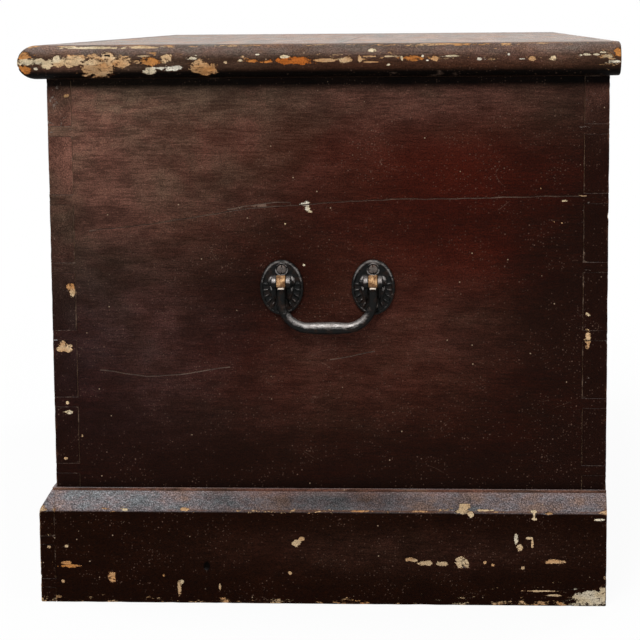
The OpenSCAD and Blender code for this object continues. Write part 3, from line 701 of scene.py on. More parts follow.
    # Painted highlights: a broken pale line along the joints and splits, where their lips would catch the
    # light from above
    broken = mix.noise(75, 1, 7, 0.8).spread(0.5, 0.66)
    seam_highlight = mix.value("seam_highlight").spread(0.955, 0.985) * (broken * 0.6)
    split_highlight = mix.value("split_highlight").spread(0.945, 0.975) * mottle.spread(0.4, 0.62, 0.28, 0.6)
    paint = paint.cover(seam_highlight.most(split_highlight), "a58d7b")
    scuffed = mix.value("scuffed")
    scuffs = (mix.noise(170, 0.35, 8, 0.76) + scuffed * 0.24).spread(0.7, 0.725) * scuffed.spread(0.04, 0.2)
    scuffs = scuffs * flecks.spread(0.52, 0.58, 1.0, 0.1)
    edge = mix.value("chip") + ragged
    rim = edge.spread(-0.22, -0.03) * mottle.spread(0.35, 0.6, 0.2, 0.75)
    chips = edge.spread(-0.03, 0.05) * flecks.spread(0.57, 0.62, 1.0, 0.12)
    paint = paint.cover(rim, "4d2b18").cover(scuffs, scratch or bare).cover(chips, bare)
    gone = chips.most(scuffs)

    rough = streak.spread(0.3, 0.7, 0.38, 0.58) + veil * 0.12 + dust_and_sheen_share * 0.3 + gone * 0.3
    # Painted shade: the nail holes are coloured near black
    mix.set(Base_Color=paint.cover(mix.value("hole").spread(0.15, 0.75, 0.0, 0.95), "050302"))
    mix.set(Roughness=rough, Specular_IOR_Level=sheen)
    height = streak * 0.5 + fine * 0.35 + crackle.spread(0.0, 0.06, 0.0, 0.2) + grit * 0.8 + gone * -0.7
    mix.bump(height, 0.6 * MM, 0.95)
    return mix.owner


def pine(name, axis):
    """Bare old pine of the inside, with growth lines that bend round its knots, and the grime of long use."""
    mix = Recipe(bpy.data.materials.new(name), axis)
    knots = mix.cells(6.3, 0.55)
    chosen = mix.cells(6.3, 0.55, "Color").spread(0.62, 0.66)
    knot = knots.spread(0.035, 0.06, 1.0, 0.0) * chosen
    growth = mix.noise(17, 0.07, 2, 0.4, 0.25) + knots.spread(0.0, 0.22, 0.32, 0.0) * chosen
    line = (growth * 26).math("PINGPONG", 1.0)
    fine = mix.noise(900, 0.035, 4, 0.6)
    fibre = mix.noise(260, 0.02, 4, 0.6)
    grime_and_painted_shade = mix.noise(6, 1, 6, 0.62)
    wood = mix.blend(line.spread(0.35, 1.0, 0.0, 0.8), "ac8c68", "86674a")
    wood = wood.shade(fibre.spread(0.3, 0.7, 0.84, 1.12)).shade(fine.spread(0.3, 0.7, 0.84, 1.1))
    wood = wood.cover(knot * 0.85, "4b2f1b").cover(grime_and_painted_shade.spread(0.42, 0.72, 0.0, 0.6), "57422f")
    mix.set(Base_Color=wood, Roughness=fine.spread(0.3, 0.7, 0.62, 0.8), Specular_IOR_Level=0.3)
    mix.bump(fine * 0.6 + line * 0.4, 0.4 * MM, 0.8)
    return mix.owner


def old_metal(name, dark, light, rust_share, rust="4a2c1c"):
    """Blackened metal, rubbed to a dull shine on what stands out, lighter where painted highlights and a
    painted glint are laid on, and rusted in places.
    """
    mix = Recipe(bpy.data.materials.new(name))
    mottle = mix.noise(160, 1, 6, 0.65)
    strokes = mix.noise(900, 0.16, 5, 0.65, axis=1)
    grit = mix.noise(1500, 1, 4, 0.6)
    flakes = mix.noise(240, 0.6, 4, 0.7, axis=2)
    # Rubbed wear and painted highlights together make the metal lighter and shinier
    wear_and_highlight = mix.value("rubbed_and_highlight") * 0.9 + (mottle - 0.5) + (strokes - 0.5) * 0.9
    skin = mix.blend(wear_and_highlight.spread(0.25, 0.85), dark, light).shade(grit.spread(0.3, 0.7, 0.7, 1.25))
    skin = skin.cover((mottle + grit * 0.3).spread(0.62, 0.85, 0.0, rust_share), rust)
    yellow = mix.value("brassy") * flakes.spread(0.38, 0.62, 1.0, 0.45)
    brass = mix.blend((grit + flakes).spread(0.8, 1.2, 1.0, 0.0), "8a5832", "cfa678")
    # Yellow metal where the brass shows through, and a painted glint on the upturned step under each eye
    skin = skin.cover(yellow.least(1.0), brass).cover(mix.value("glint") * 0.9, "f4e4d2")
    mix.set(Base_Color=skin, Metallic=wear_and_highlight.spread(0.1, 0.7, 0.1, 0.85), Specular_IOR_Level=0.12)
    mix.set(Roughness=(mottle + grit * 0.4).spread(0.45, 0.95, 0.34, 0.62))
    mix.bump(mottle * 0.7 + mix.cells(900).spread(0.0, 0.5, 0.0, 0.4), 0.3 * MM, 0.8)
    return mix.owner


FINISHES = {
    "case_across": aged_paint("case_paint_across", 1, "1b0a05", "3d1007", scratch="94847a"),
    "case_along": aged_paint("case_paint_along", 0, "1b0a05", "371009", scratch="94847a"),
    "lid_boards": aged_paint("lid_paint", 0, "241610", "46261b", "cfc3b6", sheen=0.3, run=0.1),
    "handle_iron": old_metal("handle_iron", "0b0b0a", "8c8784", 0.2),
    "hinge_iron": old_metal("hinge_iron", "17130f", "57504a", 0.7),
    "lock_iron": old_metal("lock_iron", "191512", "5c544c", 0.7),
    "nail_iron": old_metal("nail_iron", "15100d", "4c443d", 0.8),
    "screw_iron": old_metal("screw_iron", "14110f", "6d6560", 0.5),
    "escutcheon_brass": old_metal("escutcheon_brass", "3a2a14", "b08a4c", 0.35, "31301c"),
}
for word, axis in (("across", 1), ("along", 0)):
    FINISHES["plinth_" + word] = aged_paint(
        "plinth_paint_" + word, axis, "170702", "2a0e06", "979190", (0.15, 0.42, 0.7), 0.02, specks=3.4)
    FINISHES["moulding_" + word] = aged_paint(
        "moulding_paint_" + word, axis, "2e1d13", "4e2b1c", "9c8c80", (0.1, 1.0, 0.8), specks=2.8)
    FINISHES["pine_" + word] = pine("bare_pine_" + word, axis)


def dress(piece, node, body, finish, inner=None, bare=None):
    """Gives a piece its finishes and lets it stand for its CAD node and ride on its body. Faces whose normal
    and middle pass the test for bare wood take the inner finish."""
    piece.data.materials.append(FINISHES[finish])
    if inner:
        piece.data.materials.append(FINISHES[inner])
        for face in piece.data.polygons:
            face.material_index = int(bare(face.normal, face.center))
    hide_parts(node)
    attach(piece, body)


# Marks of the photographed end, across the chest from its middle and up from the floor

PANEL_MARKS = [
    (-20.5, 363.5, 3.8, 3.2, 0.95), (-17.5, 359.5, 2, 2.8, 0.8), (-14.5, 357, 2.6, 1, 0.7),
    (-37.6, 346, 1, 1, 0.6), (-21, 309, 1.1, 1.1, 0.8), (201.7, 347, 0.7, 0.7, 0.5),
    (208.8, 346, 0.9, 0.7, 0.5), (190, 377, 0.7, 0.7, 0.5), (200.6, 377, 0.7, 0.7, 0.5),
    (211.7, 366, 3.6, 0.9, 0.6), (-233, 289, 3.6, 3.4, 0.55), (-231, 284, 3, 3.6, 0.7),
    (-239, 233, 7, 3.2, 0.6), (-241, 237, 3, 3, 0.5), (-236.7, 174, 3.6, 1.5, 0.7),
    (-240.5, 131, 1.8, 1.6, 0.6), (-225, 152, 1, 1.2, 0.6), (-232, 461, 2.2, 1.6, 0.5),
    (232.2, 242, 2.6, 8.2, 0.5), (232.4, 264, 2.2, 2, 0.6), (-238, 183, 1.6, 1.6, 0.6),
]
PLINTH_MARKS = [
    (-130.6, 87.5, 4, 1.3, 0.6), (-185, 86.8, 2.8, 1.1, 0.85), (-234.7, 34, 10, 1.5, 0.3),
    (-240, 37, 5, 1.6, 0.35), (-198.2, 24, 3.6, 4.6, 0.5), (-150.8, 26.2, 1.3, 1.6, 0.5),
    (-243.4, 19.8, 1.6, 1.6, 0.6), (-238.9, 52.7, 1.8, 1.4, 0.5), (-255.5, 51.6, 1.6, 1.6, 0.5),
    (-29.5, 56.5, 3.4, 3.4, 0.7), (-24.5, 61, 2.6, 1.8, 0.6), (-136.4, 14.1, 1.6, 7, 0.6),
    (-134, 20, 1.6, 2, 0.7), (-35.3, 29, 1.5, 1.5, 0.6), (-99.3, 15.4, 0.8, 3.4, 0.6),
    (74.4, 42, 5.4, 1.9, 0.6), (87, 39.2, 6.4, 2.1, 0.6), (102.3, 38.4, 6.2, 2, 0.65),
    (120.8, 40, 6.6, 5.4, 0.6), (141, 39.7, 1.5, 1.5, 0.6), (148.2, 37.9, 1.6, 1.3, 0.6),
    (122, 90, 5, 3.6, 0.65), (120, 87, 6.4, 1.8, 0.7), (128, 84.5, 2.6, 2.6, 0.7), (185, 84.5, 1, 4.4, 0.75),
    (185, 80.5, 2.6, 1.2, 0.75), (184.6, 87, 2.4, 1.2, 0.8), (198, 85.5, 4, 1, 0.65), (140, 88, 8, 0.8, 0.7),
    (169, 61, 2, 5, 0.7), (172, 54, 2.6, 3.2, 0.6), (180.4, 63, 3.2, 1.1, 0.6), (183.5, 58, 1, 4.5, 0.6),
    (203.8, 41, 9.6, 1.8, 0.65), (175.2, 35.3, 1.4, 1.4, 0.6), (190, 14, 13, 0.9, 0.6),
    (203, 10, 8, 0.9, 0.6), (235.9, 8, 15, 6.4, 0.95), (248, 14, 4, 5, 0.9), (248.7, 26.6, 1.4, 1.6, 0.7),
    (242.4, 80, 5.4, 1, 0.8),
]
MOULDING_MARKS = [
    (-266, 500.5, 7, 3.4, 0.25), (-265, 494, 8, 3, 0.7), (-266, 485.5, 6.5, 4, 0.15),
    (-251.5, 495, 4, 2.6, 0.75), (-245, 491.2, 6, 3.8, 0.72), (-255, 486.6, 1.8, 1.5, 0.9),
    (-236, 496.5, 3, 4, 0.75), (-224, 492.8, 9, 3.4, 0.62), (-236, 491, 5, 2.2, 0.6),
    (-200, 486, 14, 7.6, 0.5), (-203, 492, 10, 3.2, 0.6), (-189, 495, 5, 6, 0.6),
    (-192.5, 499.5, 3.4, 2.6, 0.65), (-180, 491.8, 9.5, 3.6, 0.5), (-166.2, 493.4, 3.6, 1.7, 0.5),
    (-153, 493, 7, 3.2, 0.35), (-139, 497, 6.4, 3, 0.7), (-160, 499.5, 5, 0.7, 0.7), (-154, 484, 5, 3.2, 0.8),
    (-146, 486.8, 6, 1.4, 0.95), (-134, 486.4, 7, 2.5, 0.97), (-116, 497, 4, 1.6, 0.95),
    (-106.5, 486.4, 12, 5.6, 0.55), (-109.5, 491.6, 5.5, 2.8, 0.6), (-87, 492.4, 1.4, 1.2, 0.8),
    (-73.5, 494.2, 1.3, 0.9, 0.95), (-72, 498, 1.4, 0.8, 0.7), (-59, 500.3, 2.6, 0.6, 0.95),
    (-62.5, 493.4, 5, 1.5, 0.3), (-51, 492.6, 6, 1, 0.3), (-35, 497.5, 4, 1.5, 0.98),
    (-27.5, 493, 17, 3.4, 0.1), (0, 493.8, 9, 1.5, 0.45), (18.5, 494, 4.6, 2.8, 0.6),
    (30.6, 494.5, 1.8, 3, 0.6), (42, 503.7, 3.6, 1.4, 0.8), (39, 497.4, 6, 0.7, 0.6),
    (57, 497.5, 5, 0.7, 0.7), (39.6, 491.7, 6, 0.7, 0.5), (55.5, 488.4, 1.7, 1.2, 0.85),
    (67.6, 495.3, 1, 2.2, 0.8), (78, 495, 8, 2, 0.2), (85.5, 497.4, 1.1, 1.1, 0.95),
    (89.6, 493, 1.3, 0.8, 0.9), (96.3, 495, 2.8, 2.2, 0.35), (111.6, 497.4, 7, 0.8, 0.75),
    (135, 494, 3, 1.4, 0.98), (160.4, 499, 1, 1.2, 0.98), (171.8, 494, 2.8, 0.7, 0.9),
    (181, 494.4, 3.4, 2, 0.4), (198.3, 494.6, 3, 2.6, 0.6), (228, 498, 3.4, 1, 0.9),
    (245.5, 495.8, 2.4, 1, 0.7), (252, 490.7, 6, 1.1, 0.9), (256, 499.5, 4, 3.6, 0.2),
    (259.5, 487.5, 1.8, 6, 0.4), (236, 498, 3, 0.8, 0.9), (247, 496.2, 2.6, 1.1, 0.8),
    (222, 497.4, 1.4, 1, 0.95), (241.5, 500, 2.4, 0.7, 0.9), (250, 493.4, 3, 0.8, 0.6),
    (-205, 508, 26, 0.9, 0.8), (-160, 508, 14, 0.8, 0.75),
]


MIDDLE = MID_Y / MM
MOULDING_FOOT = 479


def on_end(marks):
    """Marks of an end, moved from the middle of the end to the chest's frame."""
    return mark_array([(u + MIDDLE, *rest) for u, *rest in marks])


def on_curve(marks):
    """Marks read off the picture of the lid's moulding, moved down to where its rounded face carries them."""
    return [(u, v - 0.14 * max(v - MOULDING_FOOT, 0), *rest) for u, v, *rest in marks]


CASE_WEAR = {
    "right": on_end(PANEL_MARKS),
    "left": scatter(3, 14, (-240, 254), (104, 474), 5),
    "front": scatter(5, 20, (-478, 478), (104, 474), 5),
    "back": scatter(8, 12, (-478, 478), (20, 474), 5),
}
PLINTH_WEAR = {
    "right": on_end(PLINTH_MARKS),
    "left": scatter(13, 15, (-252, 254), (3, 84), 6),
    "front": scatter(15, 26, (-490, 490), (3, 84), 7),
}
MOULDING_WEAR = {
    "right": on_end(on_curve(MOULDING_MARKS)),
    "left": scatter(23, 9, (-262, 255), (486, 498), 9),
    "front": scatter(25, 16, (-498, 498), (486, 498), 10),
    "top": scatter(27, 9, (-498, 498), (-262, 255), 4),
}
LID_WEAR = {
    "top": scatter(31, 26, (-480, 480), (-240, 262), 8),
    "back": scatter(33, 7, (-480, 480), (486, 502), 4),
}

# Planes and measures of the plinth

PLINTH_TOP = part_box("front_plinth")[1].z
PLINTH_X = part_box("right_plinth")[1].x
PLINTH_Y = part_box("front_plinth")[0].y
BEVEL_H = 19 * MM
BEVEL_IN = 10 * MM
FILLET_H = 2.4 * MM
QUIRK = 1 * MM
PIN_W = 8 * MM
PIN_FLARE = 2 * MM
PLINTH_PINS = (18 * MM, 58 * MM)
PLINTH_HOLES = [
    ("right", MIDDLE - 111, 35, 2.6, 5), ("right", MIDDLE + 121, 37, 1.2, 1.2),
    ("left", MIDDLE - 116, 36, 1.4, 1.6), ("left", MIDDLE + 116, 36, 2, 3)]
PLINTH_HOLES += [("front", x, 36, 1.4, 1.4 + abs(x) / 200) for x in (-350, -175, 0, 175, 350)]

# Hulls: the box round each group of boards, whose edges are the arrises

CASE_HULL = ((-END_X, FRONT_Y, 0), (END_X, BACK_Y, CASE_TOP + 20 * MM))
PLINTH_HULL = ((-PLINTH_X, PLINTH_Y, 0), (PLINTH_X, BACK_Y, PLINTH_TOP - FILLET_H))
LID_HULL = (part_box("lid_front_moulding")[0], Vector((
    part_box("lid_front_moulding")[1].x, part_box("lid_back_board")[1].y, LID_TOP)))


# Tints: soft patches of a wear value, a colour, a painted sheen or a painted shade, as side, place, half size
# and amount

def all_round(u, v, half_u, half_v, amount, sides=("right", "left", "front")):
    """The same tint on several sides, twice as long on the long ones."""
    return [(side, u, v, half_u * (1 + (side in ("front", "back"))), half_v, amount) for side in sides]


PLINTH_TINTS = [
    ("warm", all_round(0, 50, 200, 30, 0.25)),
    # Painted sheen: lighter paint on the upright fillet over the bevel, where shade falls, and faintly on the
    # faces
    ("painted_sheen", all_round(0, 103.5, 900, 2, 1.1) + [
        ("right", 60, 50, 150, 20, 0.08), ("front", 100, 50, 300, 20, 0.12)]),
    # Dust, together with a painted sheen of the sky on the bevel and the top of the fillet
    ("dust_and_sheen_amount", [
        ("right", -200, 95, 110, 20, 0.35), ("right", 200, 95, 90, 20, 0.12), ("right", 5, 95, 125, 20, -0.3),
        ("front", 100, 95, 300, 20, 0.2)]),
    ("rubbed_and_highlight", all_round(0, 86.6, 700, 2, 1.0) + [
        ("right", 90, 86.6, 170, 1.5, 0.24), ("right", -248, 50, 9, 60, 0.18), ("front", 490, 50, 8, 60, 0.3),
        ("front", -490, 50, 8, 60, 0.25)]),
    ("scuffed", all_round(0, 0, 700, 8, 0.75) + all_round(0, 86, 600, 4, 0.5) + [
        ("right", -252, 50, 12, 50, 0.4), ("right", 245, 10, 26, 16, 0.6), ("right", 165, 20, 60, 14, 0.3),
        ("front", 486, 40, 14, 50, 0.5), ("front", -486, 40, 14, 50, 0.5), ("left", -245, 30, 14, 40, 0.6)]),
]
LID_TINTS = [
    ("warm", [
        ("top", 0, 0, 400, 200, 0.3), ("right", 90, 487, 150, 8, 0.5), ("front", 0, 490, 300, 8, 0.25)]),
    # Painted sheen: glare on the lid's top and pale light on its mouldings
    ("painted_sheen", [
        ("top", 150, 60, 220, 90, 0.6), ("top", -220, -80, 180, 90, 0.5), ("right", -60, 498, 260, 6, 0.3),
        ("right", 200, 496, 120, 7, 0.4), ("right", -210, 487, 80, 5, 0.5),
        ("right", -90, 488, 70, 4, 0.25)]),
    # Less dust and painted sky sheen on the top of the right moulding
    ("dust_and_sheen_amount", [("right", 80, 504, 210, 4, -0.4)]),
    # Painted shade: the lower, downturned part of the mouldings darkened
    ("grime_and_painted_shade", all_round(0, 477, 900, 6, 1.6)),
    ("rubbed_and_highlight", all_round(-60, 505.8, 260, 1.2, 0.25) + [
        ("right", -225, 492, 50, 5, 0.45), ("right", 20, 493, 200, 5, 0.12), ("front", 0, 495, 600, 6, 0.35),
        ("right", 258, 490, 8, 12, 0.5)]),
    ("scuffed", all_round(0, 494, 420, 4, 0.8, ("left", "front")) + all_round(0, 505, 600, 1.4, 0.5) + [
        ("right", -200, 493, 90, 6, 0.95), ("right", 60, 493.5, 210, 4, 0.64),
        ("right", -190, 505, 90, 1.2, 0.25), ("right", 130, 504.5, 70, 1.5, 0.3),
        ("right", 254, 490, 12, 12, 0.7), ("front", 480, 492, 40, 12, 0.5), ("top", 0, -255, 600, 12, 0.35),
        ("top", 492, 0, 10, 300, 0.3), ("top", -492, 0, 10, 300, 0.35), ("top", 120, 40, 150, 60, 0.16)]),
]
CASE_TINTS = [
    ("warm", [
        ("right", 60, 395, 190, 60, 0.62), ("right", 0, 215, 190, 60, 0.4), ("right", 90, 300, 110, 40, 0.5),
        ("right", -130, 330, 60, 40, 0.25), ("right", -100, 430, 70, 40, 0.3),
        ("front", 0, 280, 330, 140, 0.6), ("left", 0, 300, 160, 130, 0.6), ("back", 0, 280, 330, 140, 0.35)]),
    # Painted sheen: pale light on the paint near the top of each side and over the upper left of the right
    # end
    ("painted_sheen", [
        ("right", 0, 480, 330, 42, 0.55), ("right", -210, 430, 110, 110, 0.68),
        ("right", -100, 400, 120, 50, 0.2), ("right", -160, 240, 60, 60, 0.14),
        ("right", -10, 190, 110, 40, 0.1), ("right", 40, 270, 40, 60, 0.1), ("right", 105, 250, 60, 50, 0.16),
        ("right", -15, 235, 30, 30, 0.12), ("front", 0, 478, 700, 42, 0.5),
        ("front", -260, 420, 220, 90, 0.3), ("front", 200, 180, 160, 40, 0.15),
        ("left", 0, 480, 330, 42, 0.5), ("left", 150, 420, 130, 90, 0.4),
        ("left", -60, 220, 90, 50, 0.12), ("back", 0, 475, 700, 50, 0.45),
        ("back", -260, 380, 200, 110, 0.25)]),
    ("cold", [
        ("right", -130, 230, 70, 70, 0.15), ("right", -200, 250, 60, 80, 0.25),
        ("left", 120, 230, 70, 70, 0.3), ("front", -250, 250, 110, 70, 0.25)]),
    # Painted shade: the shadow under the lid's overhang, and a lighter darkening just above the plinth
    ("grime_and_painted_shade", all_round(0, 479, 2000, 9, 2.2, ("right", "left", "front", "back"))
     + all_round(0, 105, 2000, 8, 0.5)),
    ("scuffed", [
        ("right", -238, 300, 9, 220, 0.35), ("right", 238, 300, 8, 180, 0.35),
        ("right", 235, 450, 20, 30, 0.3), ("right", -238, 450, 20, 40, 0.35),
        ("left", -236, 300, 9, 200, 0.4), ("left", 250, 300, 9, 200, 0.4), ("front", -470, 300, 14, 220, 0.4),
        ("front", 470, 300, 14, 220, 0.4), ("front", 0, 440, 60, 30, 0.3), ("back", -470, 300, 14, 220, 0.4),
        ("back", 470, 300, 14, 220, 0.4)]),
]


# Case boards

UPPER_SPLIT = [
    (-214, 340), (-159, 346), (-114, 353), (-69, 360), (-24, 363), (21, 366), (65, 368), (110, 368),
    (154, 369), (189, 370), (230, 370)]
SPLIT_BRANCH = [(-89, 359), (-63, 363.5), (-46, 365.5), (-33, 365)]
LOWER_SPLIT = [(-207, 213), (-189, 211), (-165, 207), (-153, 208), (-134, 209), (-116, 212), (-89, 216)]
SHORT_SPLIT = [(2, 223), (20, 226), (42, 231)]
LEFT_SPLIT = [(-120, 190), (-60, 196), (20, 199), (90, 206), (150, 208)]
SPLIT_STEP = 7
SPLIT_START, SPLIT_DEPTH = 0.1 * MM, 2 * MM
JOINT_REACH = 30 * MM
ON_PLANE = 0.2 * MM
TOP_CUTS = (12.5, 15, 17.5, 21)


def split(piece, line, plane_x, seed):
    """Cuts an open split into an end board along a line of places across and up, in millimetres from the
    end's middle and the floor. Gives the straight lines that it is made of."""
    chance = random.Random(seed)
    spots = line[:1]
    for (y0, z0), (y1, z1) in zip(line, line[1:]):
        steps = max(1, round(abs(y1 - y0) / SPLIT_STEP))
        for i in range(1, steps + 1):
            share = i / steps
            spots.append((y0 + (y1 - y0) * share, z0 + (z1 - z0) * share + chance.uniform(-0.4, 0.4)))
    spots = [Vector((plane_x, MID_Y + y * MM, z * MM)) for y, z in spots]
    width = SPLIT_START
    half = Vector((SPLIT_DEPTH, 0, width / 2))
    cutter = cube("split", spots[0] - half - Vector((0, 0.2 * MM, 0)), spots[0] + half)
    edit(cutter)
    pick(cutter, "FACE", lambda c, n: n.y > 0.5)
    for start, end in zip(spots, spots[1:]):
        gape = chance.uniform(0.25, 0.55) * MM
        extrude(end - start)
        bpy.ops.transform.resize(value=(1, 1, gape / width), center_override=end)
        width = gape
    leave()
    cut_away(piece, cutter)
    return list(zip(spots, spots[1:]))


def case_board(node, inner_axis, inner_way, splits=()):
    """A board of the case, painted outside, with its dovetail lines, rounded corners and splits."""
    piece = cad_copy(node, node + "_wood")

    def on_long_side(a, b):
        """Whether an edge lies in the plane of the front or of the back."""
        return min(abs(a.y - FRONT_Y), abs(a.y - BACK_Y)) < ON_PLANE and close(a.y, b.y, ON_PLANE)

    def outer_corner(a, b):
        return at_ends(a, b, END_X, ON_PLANE) and on_long_side(a, b)

    def joint_line(a, b):
        beside = abs(a.x) > END_X - JOINT_REACH and abs(b.x) > END_X - JOINT_REACH
        return at_ends(a, b, END_X, ON_PLANE) or on_long_side(a, b) and beside

    joints = [(a, b) for index, a, b in sharp_edges(piece) if joint_line(a, b) and not outer_corner(a, b)]
    cracks = []
    for seed, line in enumerate(splits):
        cracks += split(piece, line, END_X if node.startswith("right") else -END_X, seed)
    round_edges(piece, [(1.2 * MM, outer_corner), (0.15 * MM, joint_line)])
    grid_cuts(piece, 9 * MM, (1 - inner_axis, 2), [CASE_TOP - drop * MM for drop in TOP_CUTS])
    age(piece, CASE_WEAR, CASE_HULL, CASE_TINTS, lines={"seam_highlight": joints, "split_highlight": cracks}, seed=len(node))
    word = "along" if inner_axis else "across"
    dress(piece, node, "case", "case_" + word, "pine_" + word,
          lambda n, c: n[inner_axis] * inner_way > 0.5 or n.z > 0.5 and c.z > CASE_TOP - 2 * MM)


case_board("right_end_board", 0, -1, [UPPER_SPLIT, SPLIT_BRANCH, LOWER_SPLIT, SHORT_SPLIT])
case_board("left_end_board", 0, 1, [LEFT_SPLIT])
case_board("front_board", 1, 1)
case_board("back_board", 1, -1)


# Plinth

def plinth_profile(piece, moves):
    """Shapes the top of a plinth bar: the bevel, the small step over it and the upright fillet. Each move
    names an axis, the plane of the outer face there and the way to the inside."""
    top, first_lift = PLINTH_TOP - FILLET_H, 0.01 * MM
    edit(piece)
    bpy.ops.mesh.select_all(action="SELECT")
    bpy.ops.mesh.bisect(plane_co=(0, 0, PLINTH_TOP - BEVEL_H), plane_no=(0, 0, 1))
    for axis, plane, way in moves:
        pick(piece, "VERT", lambda c: close(c.z, top) and close(c[axis], plane))
        slide(axis, way * BEVEL_IN)
    pick(piece, "FACE", lambda c, n: n.z > 0.9)
    extrude((0, 0, first_lift))
    for axis, plane, way in moves:
        pick(piece, "VERT", lambda c: c.z > top + first_lift / 2 and close(c[axis], plane + way * BEVEL_IN))
        slide(axis, way * QUIRK)
    pick(piece, "FACE", lambda c, n: n.z > 0.9 and c.z > top + first_lift / 2)
    extrude((0, 0, FILLET_H - first_lift))
    leave()


def plinth_pin(side, z, gap):
    """One dovetail pin of an end plinth, which shows on the front of the plinth. With a gap it is the cutter
    of its socket."""
    outer, inner = side * (PLINTH_X + gap * 10), side * END_X
    low = (min(outer, inner), PLINTH_Y - gap * 10, z - PIN_W / 2 - gap)
    high = (max(outer, inner), FRONT_Y + MM, z + PIN_W / 2 + gap)
    pin = cube("plinth_pin", low, high)
    edit(pin)
    pick(pin, "VERT", lambda c: close(c.x, inner))
    bpy.ops.transform.resize(value=(1, 1, (PIN_W + 2 * PIN_FLARE) / PIN_W), center_override=(inner, 0, z))
    leave()
    return pin


def plinth_seams():
    """The lines of the dovetails at the plinth's front corners."""
    seams = []
    for end in (-1, 1):
        x = end * PLINTH_X
        ridge = (x, FRONT_Y, PLINTH_TOP - BEVEL_H)
        seams += [((x, FRONT_Y, 0), ridge), (ridge, (x - end * BEVEL_IN, FRONT_Y, PLINTH_TOP - FILLET_H))]
        for z in PLINTH_PINS:
            for way in (-1, 1):
                corner = (x, PLINTH_Y, z + way * PIN_W / 2)
                seams.append((corner, (x, FRONT_Y, corner[2])))
                seams.append((corner, (end * END_X, PLINTH_Y, corner[2] + way * PIN_FLARE)))
    return seams


def plinth_bar(node, side):
    """A bar of the plinth: side 1 is the right one, -1 the left one and 0 the front one."""
    top, arris_z = PLINTH_TOP - FILLET_H, PLINTH_TOP - BEVEL_H
    if side:
        x0, x1 = sorted((side * END_X, side * PLINTH_X))
        piece = cube(node + "_wood", (x0, FRONT_Y + 0.1 * MM, 0), (x1, BACK_Y, top))
        plinth_profile(piece, [(0, side * PLINTH_X, -side)])
        for z in PLINTH_PINS:
            cut_away(piece, plinth_pin(side, z, 0), "UNION")
    else:
        piece = cube(node + "_wood", (-PLINTH_X, PLINTH_Y, 0), (PLINTH_X, FRONT_Y, top))
        plinth_profile(piece, [(1, PLINTH_Y, 1), (0, PLINTH_X, -1), (0, -PLINTH_X, 1)])
        for end in (-1, 1):
            for z in PLINTH_PINS:
                cut_away(piece, plinth_pin(end, z, 0.1 * MM))

    def front_arris(a, b):
        return flat_between(2, a, b, arris_z) and flat_between(1, a, b, PLINTH_Y)

    def end_arris(a, b):
        return flat_between(2, a, b, arris_z) and at_ends(a, b, PLINTH_X, WELD)

    def upright(a, b):
        return (flat_between(1, a, b, PLINTH_Y) and at_ends(a, b, PLINTH_X, WELD)
                or side and flat_between(1, a, b, BACK_Y) and flat_between(0, a, b, side * PLINTH_X))

    def foot(a, b):
        return flat_between(2, a, b, 0)

    widths = [(4 * MM, front_arris), (1.6 * MM, end_arris), (1.4 * MM, upright), (1.0 * MM, foot)]
    round_edges(piece, widths, 3)
    grid_cuts(piece, 8 * MM, (1, 2) if side else (0, 2))
    age(piece, PLINTH_WEAR, PLINTH_HULL, PLINTH_TINTS, PLINTH_HOLES, {"seam_highlight": plinth_seams()}, 3 + side)
    word = "across" if side else "along"
    dress(piece, node, "case", "plinth_" + word, "pine_" + word,
          lambda n, c: n.x * side < -0.5 if side else n.y > 0.5)


plinth_bar("front_plinth", 0)
plinth_bar("right_plinth", 1)
plinth_bar("left_plinth", -1)


# Lid

def moulding(node, side):
    """A bullnose bar with a half round nose, mitred at the front corners."""
    low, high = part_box(node)
    piece = cube(node + "_wood", low, high)
    edit(piece)
    axis, outer = (0, side * max(abs(low.x), abs(high.x))) if side else (1, low.y)
    pick(piece, "EDGE", lambda a, b: flat_between(axis, a, b, outer) and close(a.z, b.z, WELD))
    bpy.ops.mesh.bevel(offset=(high.z - low.z) / 2 - 0.02 * MM, segments=9, profile=0.5, affect="EDGES")
    for end in ([side] if side else [-1, 1]):
        corner = Vector((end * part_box("lid_front_board")[1].x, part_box("lid_front_board")[0].y, 0))
        bpy.ops.mesh.select_all(action="SELECT")
        bpy.ops.mesh.bisect(
            plane_co=corner, plane_no=(end, 1, 0), clear_inner=bool(side), clear_outer=not side,
            use_fill=True, threshold=WELD)
    leave()
    if side:
        round_edges(piece, [(1.6 * MM, lambda a, b: flat_between(1, a, b, high.y))])
    grid_cuts(piece, 7 * MM, (1,) if side else (0,))
    age(piece, MOULDING_WEAR, LID_HULL, LID_TINTS, seed=9 + side, wave=0.3)
    dress(piece, node, "lid", "moulding_across" if side else "moulding_along")


def lid_board(node):
    piece = cad_copy(node, node + "_wood")
    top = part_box(node)[1].z
    round_edges(piece, [
        (1.3 * MM, lambda a, b: flat_between(1, a, b, LID_HULL[1][1])),
        (0.3 * MM, lambda a, b: flat_between(2, a, b, top))])
    grid_cuts(piece, 10 * MM, (0, 1))
    age(piece, LID_WEAR, LID_HULL, LID_TINTS, seed=len(node), wave=0.4)
    dress(piece, node, "lid", "lid_boards", "pine_along", lambda n, c: n.z < -0.5)


moulding("lid_front_moulding", 0)
moulding("lid_right_moulding", 1)
moulding("lid_left_moulding", -1)
lid_board("lid_front_board")
lid_board("lid_back_board")


# Handles, modelled on the right end; the left one is the same turned half round

